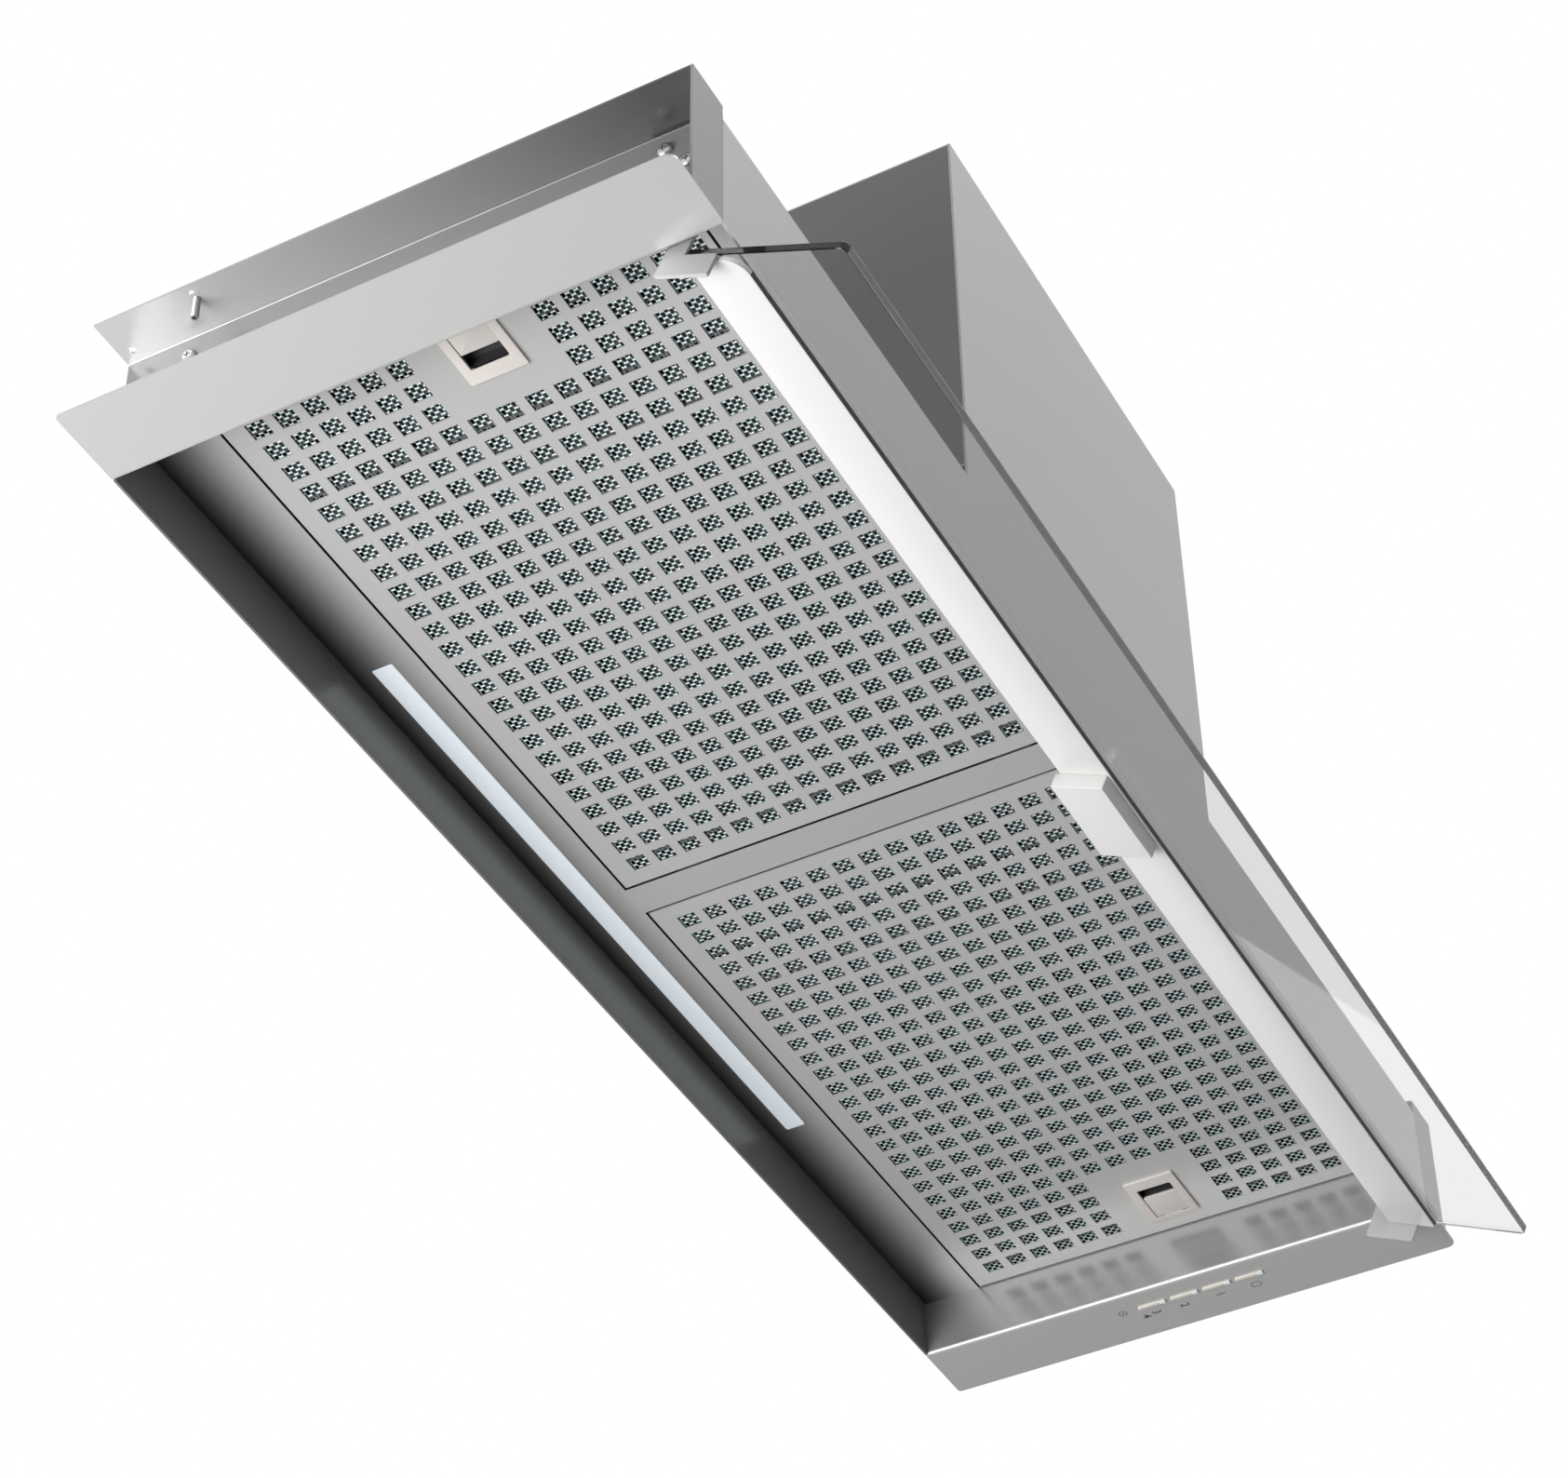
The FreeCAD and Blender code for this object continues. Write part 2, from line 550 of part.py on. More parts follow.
def rear_ceiling_panel():
    """Fixed panel behind the filters, with the lamp's slot and a folded front edge."""
    sheet = box(-WALL_IN, WALL_IN, REAR_CEILING_EDGE, BACK_IN, CEILING_Z, CEILING_TOP)
    edge = box(-WALL_IN, WALL_IN, REAR_CEILING_EDGE, REAR_CEILING_EDGE + SHEET,
               CEILING_Z, CEILING_Z + UPSTAND)
    half_x = LAMP_LENGTH / 2 + LAMP_CLEARANCE
    half_y = LAMP_WIDTH / 2 + LAMP_CLEARANCE
    slot = box(-half_x, half_x, lamp_y() - half_y, lamp_y() + half_y, CEILING_Z, CEILING_TOP)
    return fuse(sheet, edge).cut(slot)


def front_ceiling_strip():
    """Fixed strip in front of the filters, with a folded back edge."""
    sheet = box(-WALL_IN, WALL_IN, FRONT_IN, STRIP_EDGE, CEILING_Z, CEILING_TOP)
    edge = box(-WALL_IN, WALL_IN, STRIP_EDGE - SHEET, STRIP_EDGE, CEILING_Z, CEILING_Z + UPSTAND)
    return fuse(sheet, edge)


def middle_bar():
    """Bar between the filters: a flat that carries their tabs, with a web on top."""
    flat = box(-BAR_WIDTH / 2, BAR_WIDTH / 2, STRIP_EDGE, REAR_CEILING_EDGE, CEILING_Z, BAR_TOP)
    web = box(-BAR_SHEET / 2, BAR_SHEET / 2, STRIP_EDGE, REAR_CEILING_EDGE, BAR_TOP, CEILING_Z + BAR_WEB)
    return fuse(flat, web)


def wall_bolts():
    """Pan-head bolts through both end walls."""
    bolts = []
    for y, z, under_head, _ in side_bolts():
        seat = WALL_OUT + under_head
        head = rod(BOLT_HEAD_DIAMETER / 2, V(seat, y, z), V(1, 0, 0), BOLT_HEAD_HEIGHT)
        rim = [edge for edge in head.Edges if abs(edge.CenterOfMass.x - seat - BOLT_HEAD_HEIGHT) < 1e-6]
        head = head.makeFillet(BOLT_HEAD_HEIGHT / 2, rim)
        shank = rod(BOLT_DIAMETER / 2, V(seat - BOLT_LENGTH, y, z), V(1, 0, 0), BOLT_LENGTH)
        slot = box(seat + BOLT_HEAD_HEIGHT / 2, seat + 2 * BOLT_HEAD_HEIGHT, y - WIDE, y + WIDE,
                   z - BOLT_SLOT / 2, z + BOLT_SLOT / 2)
        bolts.append(fuse(head, shank).cut(slot))
    return group(bolts + [other_side(bolt) for bolt in bolts])


def wall_nuts():
    """Nuts on the inner ends of the wall bolts."""
    nuts = []
    for y, z, _, behind in side_bolts():
        seat = WALL_IN - behind
        nut = hexagon(NUT_ACROSS_FLATS, V(seat - NUT_HEIGHT, y, z), V(1, 0, 0), NUT_HEIGHT)
        bore = rod(BOLT_DIAMETER / 2, V(seat - 2 * NUT_HEIGHT, y, z), V(1, 0, 0), 3 * NUT_HEIGHT)
        nuts.append(nut.cut(bore))
    return group(nuts + [other_side(nut) for nut in nuts])


def levelling_screws():
    """Grub screws that hang below the flanges, with a hexagon socket in the tip."""
    length = LEVELLER_BELOW + SHEET + LEVELLER_ABOVE
    foot = V(leveller_x(), leveller_y(), -SHEET - LEVELLER_BELOW)
    screw = rod(LEVELLER_DIAMETER / 2, foot, V(0, 0, 1), length)
    screw = screw.cut(hexagon(HEX_SOCKET, foot, V(0, 0, 1), HEX_SOCKET_DEPTH))
    return group([screw, other_side(screw)])


# ---------------------------------------------------------------- lamp
def lamp_y():
    """The lamp's centre line."""
    return BACK_IN - LAMP_FROM_BACK


def lamp_diffuser():
    """White cover of the lamp, flush with the ceiling of the recess."""
    half_x = LAMP_LENGTH / 2
    half_y = LAMP_WIDTH / 2
    cover = box(-half_x, half_x, lamp_y() - half_y, lamp_y() + half_y, CEILING_Z, CEILING_Z + DIFFUSER_HEIGHT)
    lip_y = LAMP_CHANNEL_WIDTH / 2 - LAMP_WALL - LAMP_CLEARANCE
    lip = box(-half_x, half_x, lamp_y() - lip_y, lamp_y() + lip_y, CEILING_TOP, CEILING_Z + DIFFUSER_HEIGHT)
    return fuse(cover, lip)


def lamp_channel():
    """Upturned channel over the lamp."""
    x = LAMP_LENGTH / 2 + LAMP_CLEARANCE + LAMP_WALL
    y = LAMP_CHANNEL_WIDTH / 2
    top = CEILING_TOP + LAMP_CHANNEL_HEIGHT
    outer = box(-x, x, lamp_y() - y, lamp_y() + y, CEILING_TOP, top)
    inner = box(-x + LAMP_WALL, x - LAMP_WALL, lamp_y() - y + LAMP_WALL, lamp_y() + y - LAMP_WALL,
                CEILING_TOP, top - LAMP_WALL)
    return outer.cut(inner)


def lamp_board():
    """Circuit board with light-emitting diodes, under the channel's roof."""
    top = CEILING_TOP + LAMP_CHANNEL_HEIGHT - LAMP_WALL
    half_x = LAMP_LENGTH / 2 - LAMP_WALL
    return box(-half_x, half_x, lamp_y() - LAMP_BOARD_WIDTH / 2, lamp_y() + LAMP_BOARD_WIDTH / 2,
               top - LAMP_BOARD_THICKNESS, top)


def lamp_driver():
    """Power supply of the lamp, hanging under the top deck."""
    right = WALL_IN - DRIVER_FROM_WALL
    back = BACK_IN - DRIVER_FROM_BACK
    front = back - DRIVER_WIDTH
    low = -SHEET - DRIVER_HEIGHT
    body = box(right - DRIVER_LENGTH, right, front, back, low, -SHEET)
    return round_edges(body, DRIVER_RADIUS, V(1, 0, 0), [(None, front, low), (None, back, low)])


# ---------------------------------------------------------------- filters
def filter_corners(inset, z):
    """A right filter's outline, notched at the outer front corner to pass the visor bracket."""
    x0 = FILTER_IN + inset
    x1 = FILTER_OUT - inset
    y0 = FILTER_FRONT + inset
    y1 = FILTER_BACK - inset
    return [V(x0, y0, z), V(x1 - NOTCH_X, y0, z), V(x1 - NOTCH_X, y0 + NOTCH_Y, z),
            V(x1, y0 + NOTCH_Y, z), V(x1, y1, z), V(x0, y1, z)]


def hole_centres():
    """Places of the square holes, leaving a blank patch round the latch."""
    width = FILTER_OUT - FILTER_IN
    columns = int((width - 2 * HOLE_SIDE_MARGIN) / HOLE_PITCH) + 1
    rows = int((FILTER_DEPTH - HOLE_FROM_BACK - HOLE_FRONT_MARGIN) / HOLE_PITCH) + 1
    first_x = (FILTER_IN + FILTER_OUT - (columns - 1) * HOLE_PITCH) / 2
    centres = []
    for column in range(columns):
        for row in range(rows):
            x = first_x + column * HOLE_PITCH
            y = FILTER_BACK - HOLE_FROM_BACK - row * HOLE_PITCH
            near_x = abs(x - LATCH_X) < LATCH_LENGTH / 2 + PATCH_MARGIN
            near_y = abs(y - LATCH_Y) < LATCH_WIDTH / 2 + PATCH_MARGIN
            if not (near_x and near_y):
                centres.append((x, y))
    return centres


def latch_body(clearance, bottom, top):
    """The latch housing's body as a block, with room round it."""
    half_x = LATCH_LENGTH / 2 - LATCH_RIM + clearance
    half_y = LATCH_WIDTH / 2 - LATCH_RIM + clearance
    return box(LATCH_X - half_x, LATCH_X + half_x, LATCH_Y - half_y, LATCH_Y + half_y, bottom, top)


def filter_plate():
    """Perforated plate of the right filter."""
    wires = [outline(filter_corners(0, CEILING_Z))]
    for x, y in hole_centres():
        wires.append(square_wire(x, y, HOLE_SIDE, CEILING_Z))
    plate = prism(wires, V(0, 0, PLATE_THICKNESS))
    return plate.cut(latch_body(MESH_CLEARANCE, CEILING_Z, PLATE_TOP))


def filter_mesh():
    """Waved grease mesh between the plate and the frame's lip."""
    inset = FRAME_WALL + MESH_CLEARANCE
    start = FILTER_IN + inset
    length = FILTER_OUT - inset - start
    waves = int(length / MESH_WAVE)
    low = PLATE_TOP
    high = FRAME_TOP - FRAME_LIP_THICKNESS - MESH_THICKNESS
    under = []
    for i in range(2 * waves + 1):
        z = high if i % 2 else low
        under.append(V(start + length * i / (2 * waves), FILTER_FRONT + inset, z))
    over = [point + V(0, 0, MESH_THICKNESS) for point in reversed(under)]
    pad = Part.Face(outline(under + over)).extrude(V(0, FILTER_DEPTH - 2 * inset, 0))
    corner = box(FILTER_OUT - NOTCH_X - inset, FILTER_OUT, FILTER_FRONT, FILTER_FRONT + NOTCH_Y + inset,
                 PLATE_TOP, FRAME_TOP)
    room = latch_body(2 * MESH_CLEARANCE, PLATE_TOP, FRAME_TOP)
    path = tongue(MESH_CLEARANCE + SLIDER_CLEARANCE)
    return pad.cut(corner).cut(room).cut(path)


def filter_frame():
    """Rim round the mesh, with a lip on top, two tabs for the bar and the tongue's slot."""
    height = V(0, 0, FRAME_TOP - PLATE_TOP)
    outer = outline(filter_corners(0, PLATE_TOP))
    wall = prism([outer, outline(filter_corners(FRAME_WALL, PLATE_TOP))], height)
    lip_z = FRAME_TOP - FRAME_LIP_THICKNESS
    lip = prism([outline(filter_corners(0, lip_z)), outline(filter_corners(FRAME_LIP, lip_z))],
                V(0, 0, FRAME_LIP_THICKNESS))
    tabs = []
    tab_z = BAR_TOP + TAB_LIFT
    tip = BAR_WIDTH / 2 - TAB_REACH
    for y in (FILTER_BACK - TAB_FROM_BACK, FILTER_FRONT + TAB_FROM_FRONT):
        tabs.append(box(tip, FILTER_IN + FRAME_WALL, y - TAB_WIDTH / 2, y + TAB_WIDTH / 2,
                        tab_z, tab_z + TAB_THICKNESS))
    frame = fuse(wall, lip, *tabs)
    return frame.cut(tongue(SLIDER_CLEARANCE))


def rail_bottom():
    """Underside of the slider's guide rails."""
    return POCKET_TOP - SLIDER_CLEARANCE - RAIL_THICKNESS


def tongue(clearance):
    """The latch tongue from the slider to the end wall, with room round it."""
    nose = WALL_IN - TONGUE_WALL_GAP
    start = LATCH_X + POCKET_OUTER - SLIDER_CLEARANCE
    half = TONGUE_WIDTH / 2 + clearance
    low = PLATE_TOP + TONGUE_LIFT
    return box(start, nose + clearance, LATCH_Y - half, LATCH_Y + half,
               low - clearance, low + TONGUE_THICKNESS + clearance)


def latch_housing():
    """Plastic frame of the latch: a lip below the plate and a pocket for the slider."""
    half_x = LATCH_LENGTH / 2
    half_y = LATCH_WIDTH / 2
    lip = box(LATCH_X - half_x, LATCH_X + half_x, LATCH_Y - half_y, LATCH_Y + half_y, LIP_Z, CEILING_Z)
    places = [(LATCH_X + i * half_x, LATCH_Y + j * half_y, None) for i in (-1, 1) for j in (-1, 1)]
    lip = round_edges(lip, LATCH_CORNER_RADIUS, V(0, 0, 1), places)
    body = latch_body(0, CEILING_Z, LATCH_TOP)
    pocket = box(LATCH_X - POCKET_INNER, LATCH_X + POCKET_OUTER, LATCH_Y - POCKET_WIDTH / 2,
                 LATCH_Y + POCKET_WIDTH / 2, LIP_Z, POCKET_TOP)
    half_rail = POCKET_WIDTH / 2 + RAIL_WIDTH
    rails = box(LATCH_X - POCKET_INNER, LATCH_X + POCKET_OUTER, LATCH_Y - half_rail, LATCH_Y + half_rail,
                rail_bottom() - SLIDER_CLEARANCE, POCKET_TOP)
    return fuse(lip, body).cut(pocket).cut(rails).cut(tongue(SLIDER_CLEARANCE))


def latch_slider():
    """Finger slider with guide rails and the tongue that holds the filter up."""
    end = LATCH_X + POCKET_OUTER - SLIDER_CLEARANCE
    start = end - SLIDER_LENGTH
    half = POCKET_WIDTH / 2 - SLIDER_CLEARANCE
    top = POCKET_TOP - SLIDER_CLEARANCE
    face = LIP_Z + SLIDER_FLUSH
    block = box(start, end, LATCH_Y - half, LATCH_Y + half, face, top)
    half_rail = half + RAIL_WIDTH
    rails = box(start, end, LATCH_Y - half_rail, LATCH_Y + half_rail, rail_bottom(), top)
    return fuse(block, rails, tongue(0))


# ---------------------------------------------------------------- visor
def open_visor(shape):
    """Put a visor piece, drawn flat with its pivot at the origin, at its open slope."""
    shape.rotate(V(0, 0, 0), V(1, 0, 0), VISOR_TILT)
    shape.translate(V(0, PIVOT_Y, PIVOT_Z))
    return shape


def glass_plate():
    """Glass of the visor."""
    back = -ARM_FRONT
    front = back - GLASS_DEPTH
    low = -PIVOT_ABOVE_GLASS
    plate = box(-GLASS_HALF, GLASS_HALF, front, back, low, low + GLASS_THICKNESS)
    corners = [(side * GLASS_HALF, front, None) for side in (-1, 1)]
    plate = round_edges(plate, GLASS_CORNER_RADIUS, V(0, 0, 1), corners)
    return open_visor(plate)


def carrier_half():
    """Half the length of the carrier strip."""
    return BRACKET_IN - CARRIER_GAP


def carrier_strip():
    """Painted strip under the glass's back edge."""
    back = -ARM_FRONT
    front = back - CARRIER_DEPTH
    top = -PIVOT_ABOVE_GLASS
    half = carrier_half()
    strip = box(-half, half, front, back, top - CARRIER_THICKNESS, top)
    strip = round_edges(strip, CARRIER_LEFT_RADIUS, V(0, 0, 1), [(-half, front, None)])
    strip = round_edges(strip, CARRIER_RIGHT_RADIUS, V(0, 0, 1), [(half, front, None)])
    for x, y in handle_screw_places():
        hole = rod(HANDLE_SCREW_DIAMETER / 2, V(x, y, top - CARRIER_THICKNESS), V(0, 0, 1), CARRIER_THICKNESS)
        sink = rod(HANDLE_SCREW_DIAMETER, V(x, y, top - HANDLE_SCREW_HEAD), V(0, 0, 1), HANDLE_SCREW_HEAD)
        strip = strip.cut(fuse(hole, sink))
    return open_visor(strip)


def visor_bracket():
    """Right bracket: a foot under the glass and an arm that rises to the pivot."""
    low = -PIVOT_ABOVE_GLASS - BRACKET_BELOW
    toe = -ARM_FRONT - BRACKET_FOOT
    arm = box(BRACKET_IN, BRACKET_OUT, -ARM_FRONT, ARM_BACK, low, BRACKET_ABOVE_PIVOT)
    foot = box(BRACKET_IN, BRACKET_OUT, toe, -ARM_FRONT, low, -PIVOT_ABOVE_GLASS)
    corners = [(None, ARM_BACK, low), (None, toe, low), (None, ARM_BACK, BRACKET_ABOVE_PIVOT),
               (None, -ARM_FRONT, BRACKET_ABOVE_PIVOT)]
    bracket = round_edges(fuse(arm, foot), BRACKET_CORNER_RADIUS, V(1, 0, 0), corners)
    hole = rod(PIVOT_PIN_DIAMETER / 2 + PIVOT_CLEARANCE, V(BRACKET_IN - SHEET, 0, 0), V(1, 0, 0),
               3 * BRACKET_THICKNESS)
    heel = -ARM_FRONT - BRACKET_CORNER_RADIUS
    tab = box(BRACKET_IN - CARRIER_GAP, BRACKET_IN, toe + BRACKET_CORNER_RADIUS, heel,
              -PIVOT_ABOVE_GLASS - CARRIER_THICKNESS, -PIVOT_ABOVE_GLASS)
    return open_visor(fuse(bracket.cut(hole), tab))


def handle_screw_places():
    """The handle's screws in the carrier strip."""
    y = -ARM_FRONT - CARRIER_DEPTH / 2
    return [(-HANDLE_SCREW_SPACING / 2, y), (HANDLE_SCREW_SPACING / 2, y)]


def visor_handle():
    """Block under the carrier strip by which the visor is moved."""
    back = -ARM_FRONT + HANDLE_BEHIND
    front = back - HANDLE_DEPTH
    top = -PIVOT_ABOVE_GLASS - CARRIER_THICKNESS
    block = box(-HANDLE_LENGTH / 2, HANDLE_LENGTH / 2, front, back, top - HANDLE_HEIGHT, top)
    low_edges = [(0, front, top - HANDLE_HEIGHT), (0, back, top - HANDLE_HEIGHT)]
    block = round_edges(block, HANDLE_RADIUS, V(1, 0, 0), low_edges)
    for x, y in handle_screw_places():
        foot = V(x, y, top - HANDLE_SCREW_LENGTH)
        block = block.cut(rod(HANDLE_SCREW_DIAMETER / 2, foot, V(0, 0, 1), HANDLE_SCREW_LENGTH))
    return open_visor(block)


def handle_screws():
    """Countersunk-style screws from the carrier strip into the handle."""
    screws = []
    top = -PIVOT_ABOVE_GLASS
    for x, y in handle_screw_places():
        foot = top - CARRIER_THICKNESS - HANDLE_SCREW_LENGTH
        shank = rod(HANDLE_SCREW_DIAMETER / 2, V(x, y, foot), V(0, 0, 1), top - HANDLE_SCREW_HEAD - foot)
        head = rod(HANDLE_SCREW_DIAMETER, V(x, y, top - HANDLE_SCREW_HEAD), V(0, 0, 1), HANDLE_SCREW_HEAD)
        screws.append(open_visor(fuse(shank, head)))
    return group(screws)


def visor_pivot_pins():
    """Shouldered pins in the end walls, on which the brackets turn."""
    shank = rod(PIVOT_PIN_DIAMETER / 2, V(BRACKET_IN, PIVOT_Y, PIVOT_Z), V(1, 0, 0), WALL_OUT - BRACKET_IN)
    head = rod(PIVOT_HEAD_DIAMETER / 2, V(WALL_OUT, PIVOT_Y, PIVOT_Z), V(1, 0, 0), PIVOT_HEAD)
    pin = fuse(shank, head)
    return group([pin, other_side(pin)])


def friction_washers():
    """Washers between the brackets and the end walls that keep the visor where it is put."""
    start = BRACKET_OUT + WASHER_GAP
    washer = tube(WASHER_DIAMETER / 2, PIVOT_PIN_DIAMETER / 2, V(start, PIVOT_Y, PIVOT_Z), V(1, 0, 0),
                  WALL_IN - start)
    return group([washer, other_side(washer)])


# ---------------------------------------------------------------- switches
def button(y):
    """Push button: cap with a light window at its front end, keeper flange and stem."""
    half_x = BUTTON_WIDTH / 2
    half_y = BUTTON_LENGTH / 2
    cap = box(BUTTON_X - half_x, BUTTON_X + half_x, y - half_y, y + half_y, BUTTON_FACE, BUTTON_TOP)
    flange = box(BUTTON_X - half_x - BUTTON_FLANGE, BUTTON_X + half_x + BUTTON_FLANGE,
                 y - half_y - BUTTON_FLANGE, y + half_y + BUTTON_FLANGE,
                 BUTTON_FLANGE_Z, BUTTON_TOP)
    half_stem = STEM_SIDE / 2
    stem = box(BUTTON_X - half_stem, BUTTON_X + half_stem, y - half_stem, y + half_stem,
               BUTTON_TOP, STEM_TOP)
    front = y - half_y + WINDOW_INSET
    window = box(BUTTON_X - WINDOW_WIDTH / 2, BUTTON_X + WINDOW_WIDTH / 2, front, front + WINDOW_LENGTH,
                 BUTTON_FACE, BUTTON_FACE + WINDOW_DEPTH)
    return group([fuse(cap, flange, stem).cut(window), window])


def housing_span():
    """The switch housing's walls along X, centred on the buttons."""
    return BUTTON_X - HOUSING_WIDTH / 2, BUTTON_X + HOUSING_WIDTH / 2


def switch_housing():
    """Plastic cover over the switches, standing on the trim plate."""
    left, right = housing_span()
    outer = box(left, right, SWITCHES_Y - HOUSING_HALF, SWITCHES_Y + HOUSING_HALF, TRIM_TOP, HOUSING_TOP)
    inner = box(left + HOUSING_WALL, right - HOUSING_WALL, SWITCHES_Y - HOUSING_HALF + HOUSING_WALL,
                SWITCHES_Y + HOUSING_HALF - HOUSING_WALL, TRIM_TOP, HOUSING_TOP - HOUSING_WALL)
    return outer.cut(inner)


def switch_board():
    """Control board across the housing."""
    left, right = housing_span()
    return box(left + HOUSING_WALL, right - HOUSING_WALL, SWITCHES_Y - HOUSING_HALF + HOUSING_WALL,
               SWITCHES_Y + HOUSING_HALF - HOUSING_WALL, BOARD_Z, BOARD_Z + BOARD_THICKNESS)


def microswitches():
    """One microswitch over each button's stem."""
    half = SWITCH_BODY / 2
    return group([box(BUTTON_X - half, BUTTON_X + half, y - half, y + half, SWITCH_Z, BOARD_Z)
                  for y in button_centres()])


# ---------------------------------------------------------------- motor unit
def motor_box_shell():
    """Sides and back of the motor box, with feet folded out over the deck."""
    outer = box(BOX_LEFT, BOX_RIGHT, FRONT_IN, BOX_BACK, 0, COVER_Z)
    inner = box(BOX_LEFT + BOX_SHEET, BOX_RIGHT - BOX_SHEET, FRONT_IN, BOX_BACK - BOX_SHEET, 0, COVER_Z)
    back = box(BOX_LEFT - BOX_FLANGE, BOX_RIGHT + BOX_FLANGE, DECK_FRONT, BOX_BACK + BOX_FLANGE, 0, BOX_SHEET)
    middle = box(BOX_LEFT, BOX_RIGHT, DECK_FRONT, BOX_BACK, 0, BOX_SHEET)
    shell = fuse(outer.cut(inner), back.cut(middle))
    cutters = [rod(BOX_SCREW_DIAMETER / 2, V(x, y, 0), V(0, 0, 1), BOX_SHEET) for x, y in box_screw_places()]
    return shell.cut(group(cutters))


def box_screw_places():
    """Screws through the motor box's feet."""
    left = BOX_LEFT - BOX_FLANGE / 2
    right = BOX_RIGHT + BOX_FLANGE / 2
    near = DECK_FRONT + 2 * BOX_FLANGE
    far = BOX_BACK - 2 * BOX_FLANGE
    return [(left, near), (left, far), (right, near), (right, far)]


def motor_box_screws():
    """Screws that hold the motor box to the deck."""
    screws = []
    for x, y in box_screw_places():
        shank = rod(BOX_SCREW_DIAMETER / 2, V(x, y, 0), V(0, 0, 1), BOX_SHEET)
        head = rod(BOX_SCREW_DIAMETER, V(x, y, BOX_SHEET), V(0, 0, 1), BOX_SCREW_HEAD)
        screws.append(fuse(shank, head))
    return group(screws)


def motor_box_cover():
    """Top of the motor box, with a folded rim and the fan's outlet."""
    top = box(BOX_LEFT, BOX_RIGHT, FRONT_IN, BOX_BACK, COVER_Z, MOTOR_BOX_HEIGHT)
    rim_x = BOX_SHEET + PANEL_JOINT
    outer = box(BOX_LEFT + rim_x, BOX_RIGHT - rim_x, FRONT_IN + PANEL_JOINT, BOX_BACK - rim_x,
                COVER_Z - COVER_RIM, COVER_Z)
    wall = rim_x + BOX_SHEET
    inner = box(BOX_LEFT + wall, BOX_RIGHT - wall, FRONT_IN + PANEL_JOINT + BOX_SHEET, BOX_BACK - wall,
                COVER_Z - COVER_RIM, COVER_Z)
    hole = box(MOTOR_BOX_CENTRE - SCROLL_HALF, MOTOR_BOX_CENTRE + SCROLL_HALF, OUTLET_FRONT, OUTLET_BACK,
               COVER_Z, MOTOR_BOX_HEIGHT)
    return fuse(top, outer.cut(inner)).cut(hole)


def scroll_point(angle, extra, x):
    """A point on the scroll's outline, at an angle in degrees from the rear."""
    share = (angle - SCROLL_START) / (360.0 - SCROLL_START)
    radius = SCROLL_RADIUS + SCROLL_GROWTH * share + extra
    a = math.radians(angle)
    return V(x, FAN_Y + radius * math.cos(a), FAN_Z + radius * math.sin(a))


def scroll_solid(extra, half, top):
    """The scroll's inside or outside as one block."""
    x = MOTOR_BOX_CENTRE - half
    throat = SCROLL_RADIUS * math.cos(math.radians(SCROLL_START)) - extra
    first = math.degrees(math.acos(throat / (SCROLL_RADIUS + extra)))
    step = (360.0 - first) / SCROLL_ARCS
    edges = []
    for i in range(SCROLL_ARCS):
        a = first + step * i
        edges.append(Part.Arc(scroll_point(a, extra, x), scroll_point(a + step / 2, extra, x),
                              scroll_point(a + step, extra, x)).toShape())
    start = scroll_point(first, extra, x)
    end = scroll_point(360.0, extra, x)
    high_end = V(x, end.y, top)
    high_start = V(x, start.y, top)
    edges.append(Part.makeLine(end, high_end))
    edges.append(Part.makeLine(high_end, high_start))
    edges.append(Part.makeLine(high_start, start))
    wire = Part.Wire(Part.__sortEdges__(edges))
    return Part.Face(wire).extrude(V(2 * half, 0, 0))


def scroll_housing():
    """Spiral casing of the fan, open at both eyes and at the top."""
    outside = scroll_solid(SCROLL_WALL, SCROLL_HALF + SCROLL_WALL, COVER_Z)
    inside = scroll_solid(0, SCROLL_HALF, COVER_Z + SHEET)
    eyes = rod(EYE_RADIUS, V(BOX_LEFT, FAN_Y, FAN_Z), V(1, 0, 0), MOTOR_BOX_WIDTH)
    return outside.cut(inside).cut(eyes)


def impeller():
    """Double-inlet drum: middle disc, hub, blades and end rings."""
    axis = V(1, 0, 0)
    middle = MOTOR_BOX_CENTRE
    inner = IMPELLER_RADIUS - BLADE_DEPTH
    disc = rod(IMPELLER_RADIUS, V(middle - RING_THICKNESS / 2, FAN_Y, FAN_Z), axis, RING_THICKNESS)
    hub = rod(HUB_RADIUS, V(middle - HUB_HALF_LENGTH, FAN_Y, FAN_Z), axis, 2 * HUB_HALF_LENGTH)
    pieces = [hub]
    for side in (-1, 1):
        start = middle + side * IMPELLER_HALF_WIDTH - RING_THICKNESS / 2
        pieces.append(tube(IMPELLER_RADIUS, inner, V(start, FAN_Y, FAN_Z), axis, RING_THICKNESS))
    for i in range(BLADE_COUNT):
        blade = box(middle - IMPELLER_HALF_WIDTH, middle + IMPELLER_HALF_WIDTH,
                    -BLADE_DEPTH / 2, BLADE_DEPTH / 2, -BLADE_THICKNESS / 2, BLADE_THICKNESS / 2)
        blade.rotate(V(0, 0, 0), axis, BLADE_ANGLE)
        blade.translate(V(0, IMPELLER_RADIUS - BLADE_DEPTH / 2 - BLADE_THICKNESS, 0))
        blade.rotate(V(0, 0, 0), axis, 360.0 * i / BLADE_COUNT)
        blade.translate(V(0, FAN_Y, FAN_Z))
        pieces.append(blade)
    drum = fuse(disc, *pieces)
    bore = rod(SHAFT_DIAMETER / 2, V(middle - WIDE / 2, FAN_Y, FAN_Z), axis, WIDE)
    return drum.cut(bore)


def motor_shaft():
    """Shaft from the hub into the motor."""
    start = MOTOR_BOX_CENTRE - HUB_HALF_LENGTH
    end = MOTOR_FACE + MOTOR_LENGTH / 2
    return rod(SHAFT_DIAMETER / 2, V(start, FAN_Y, FAN_Z), V(1, 0, 0), end - start)


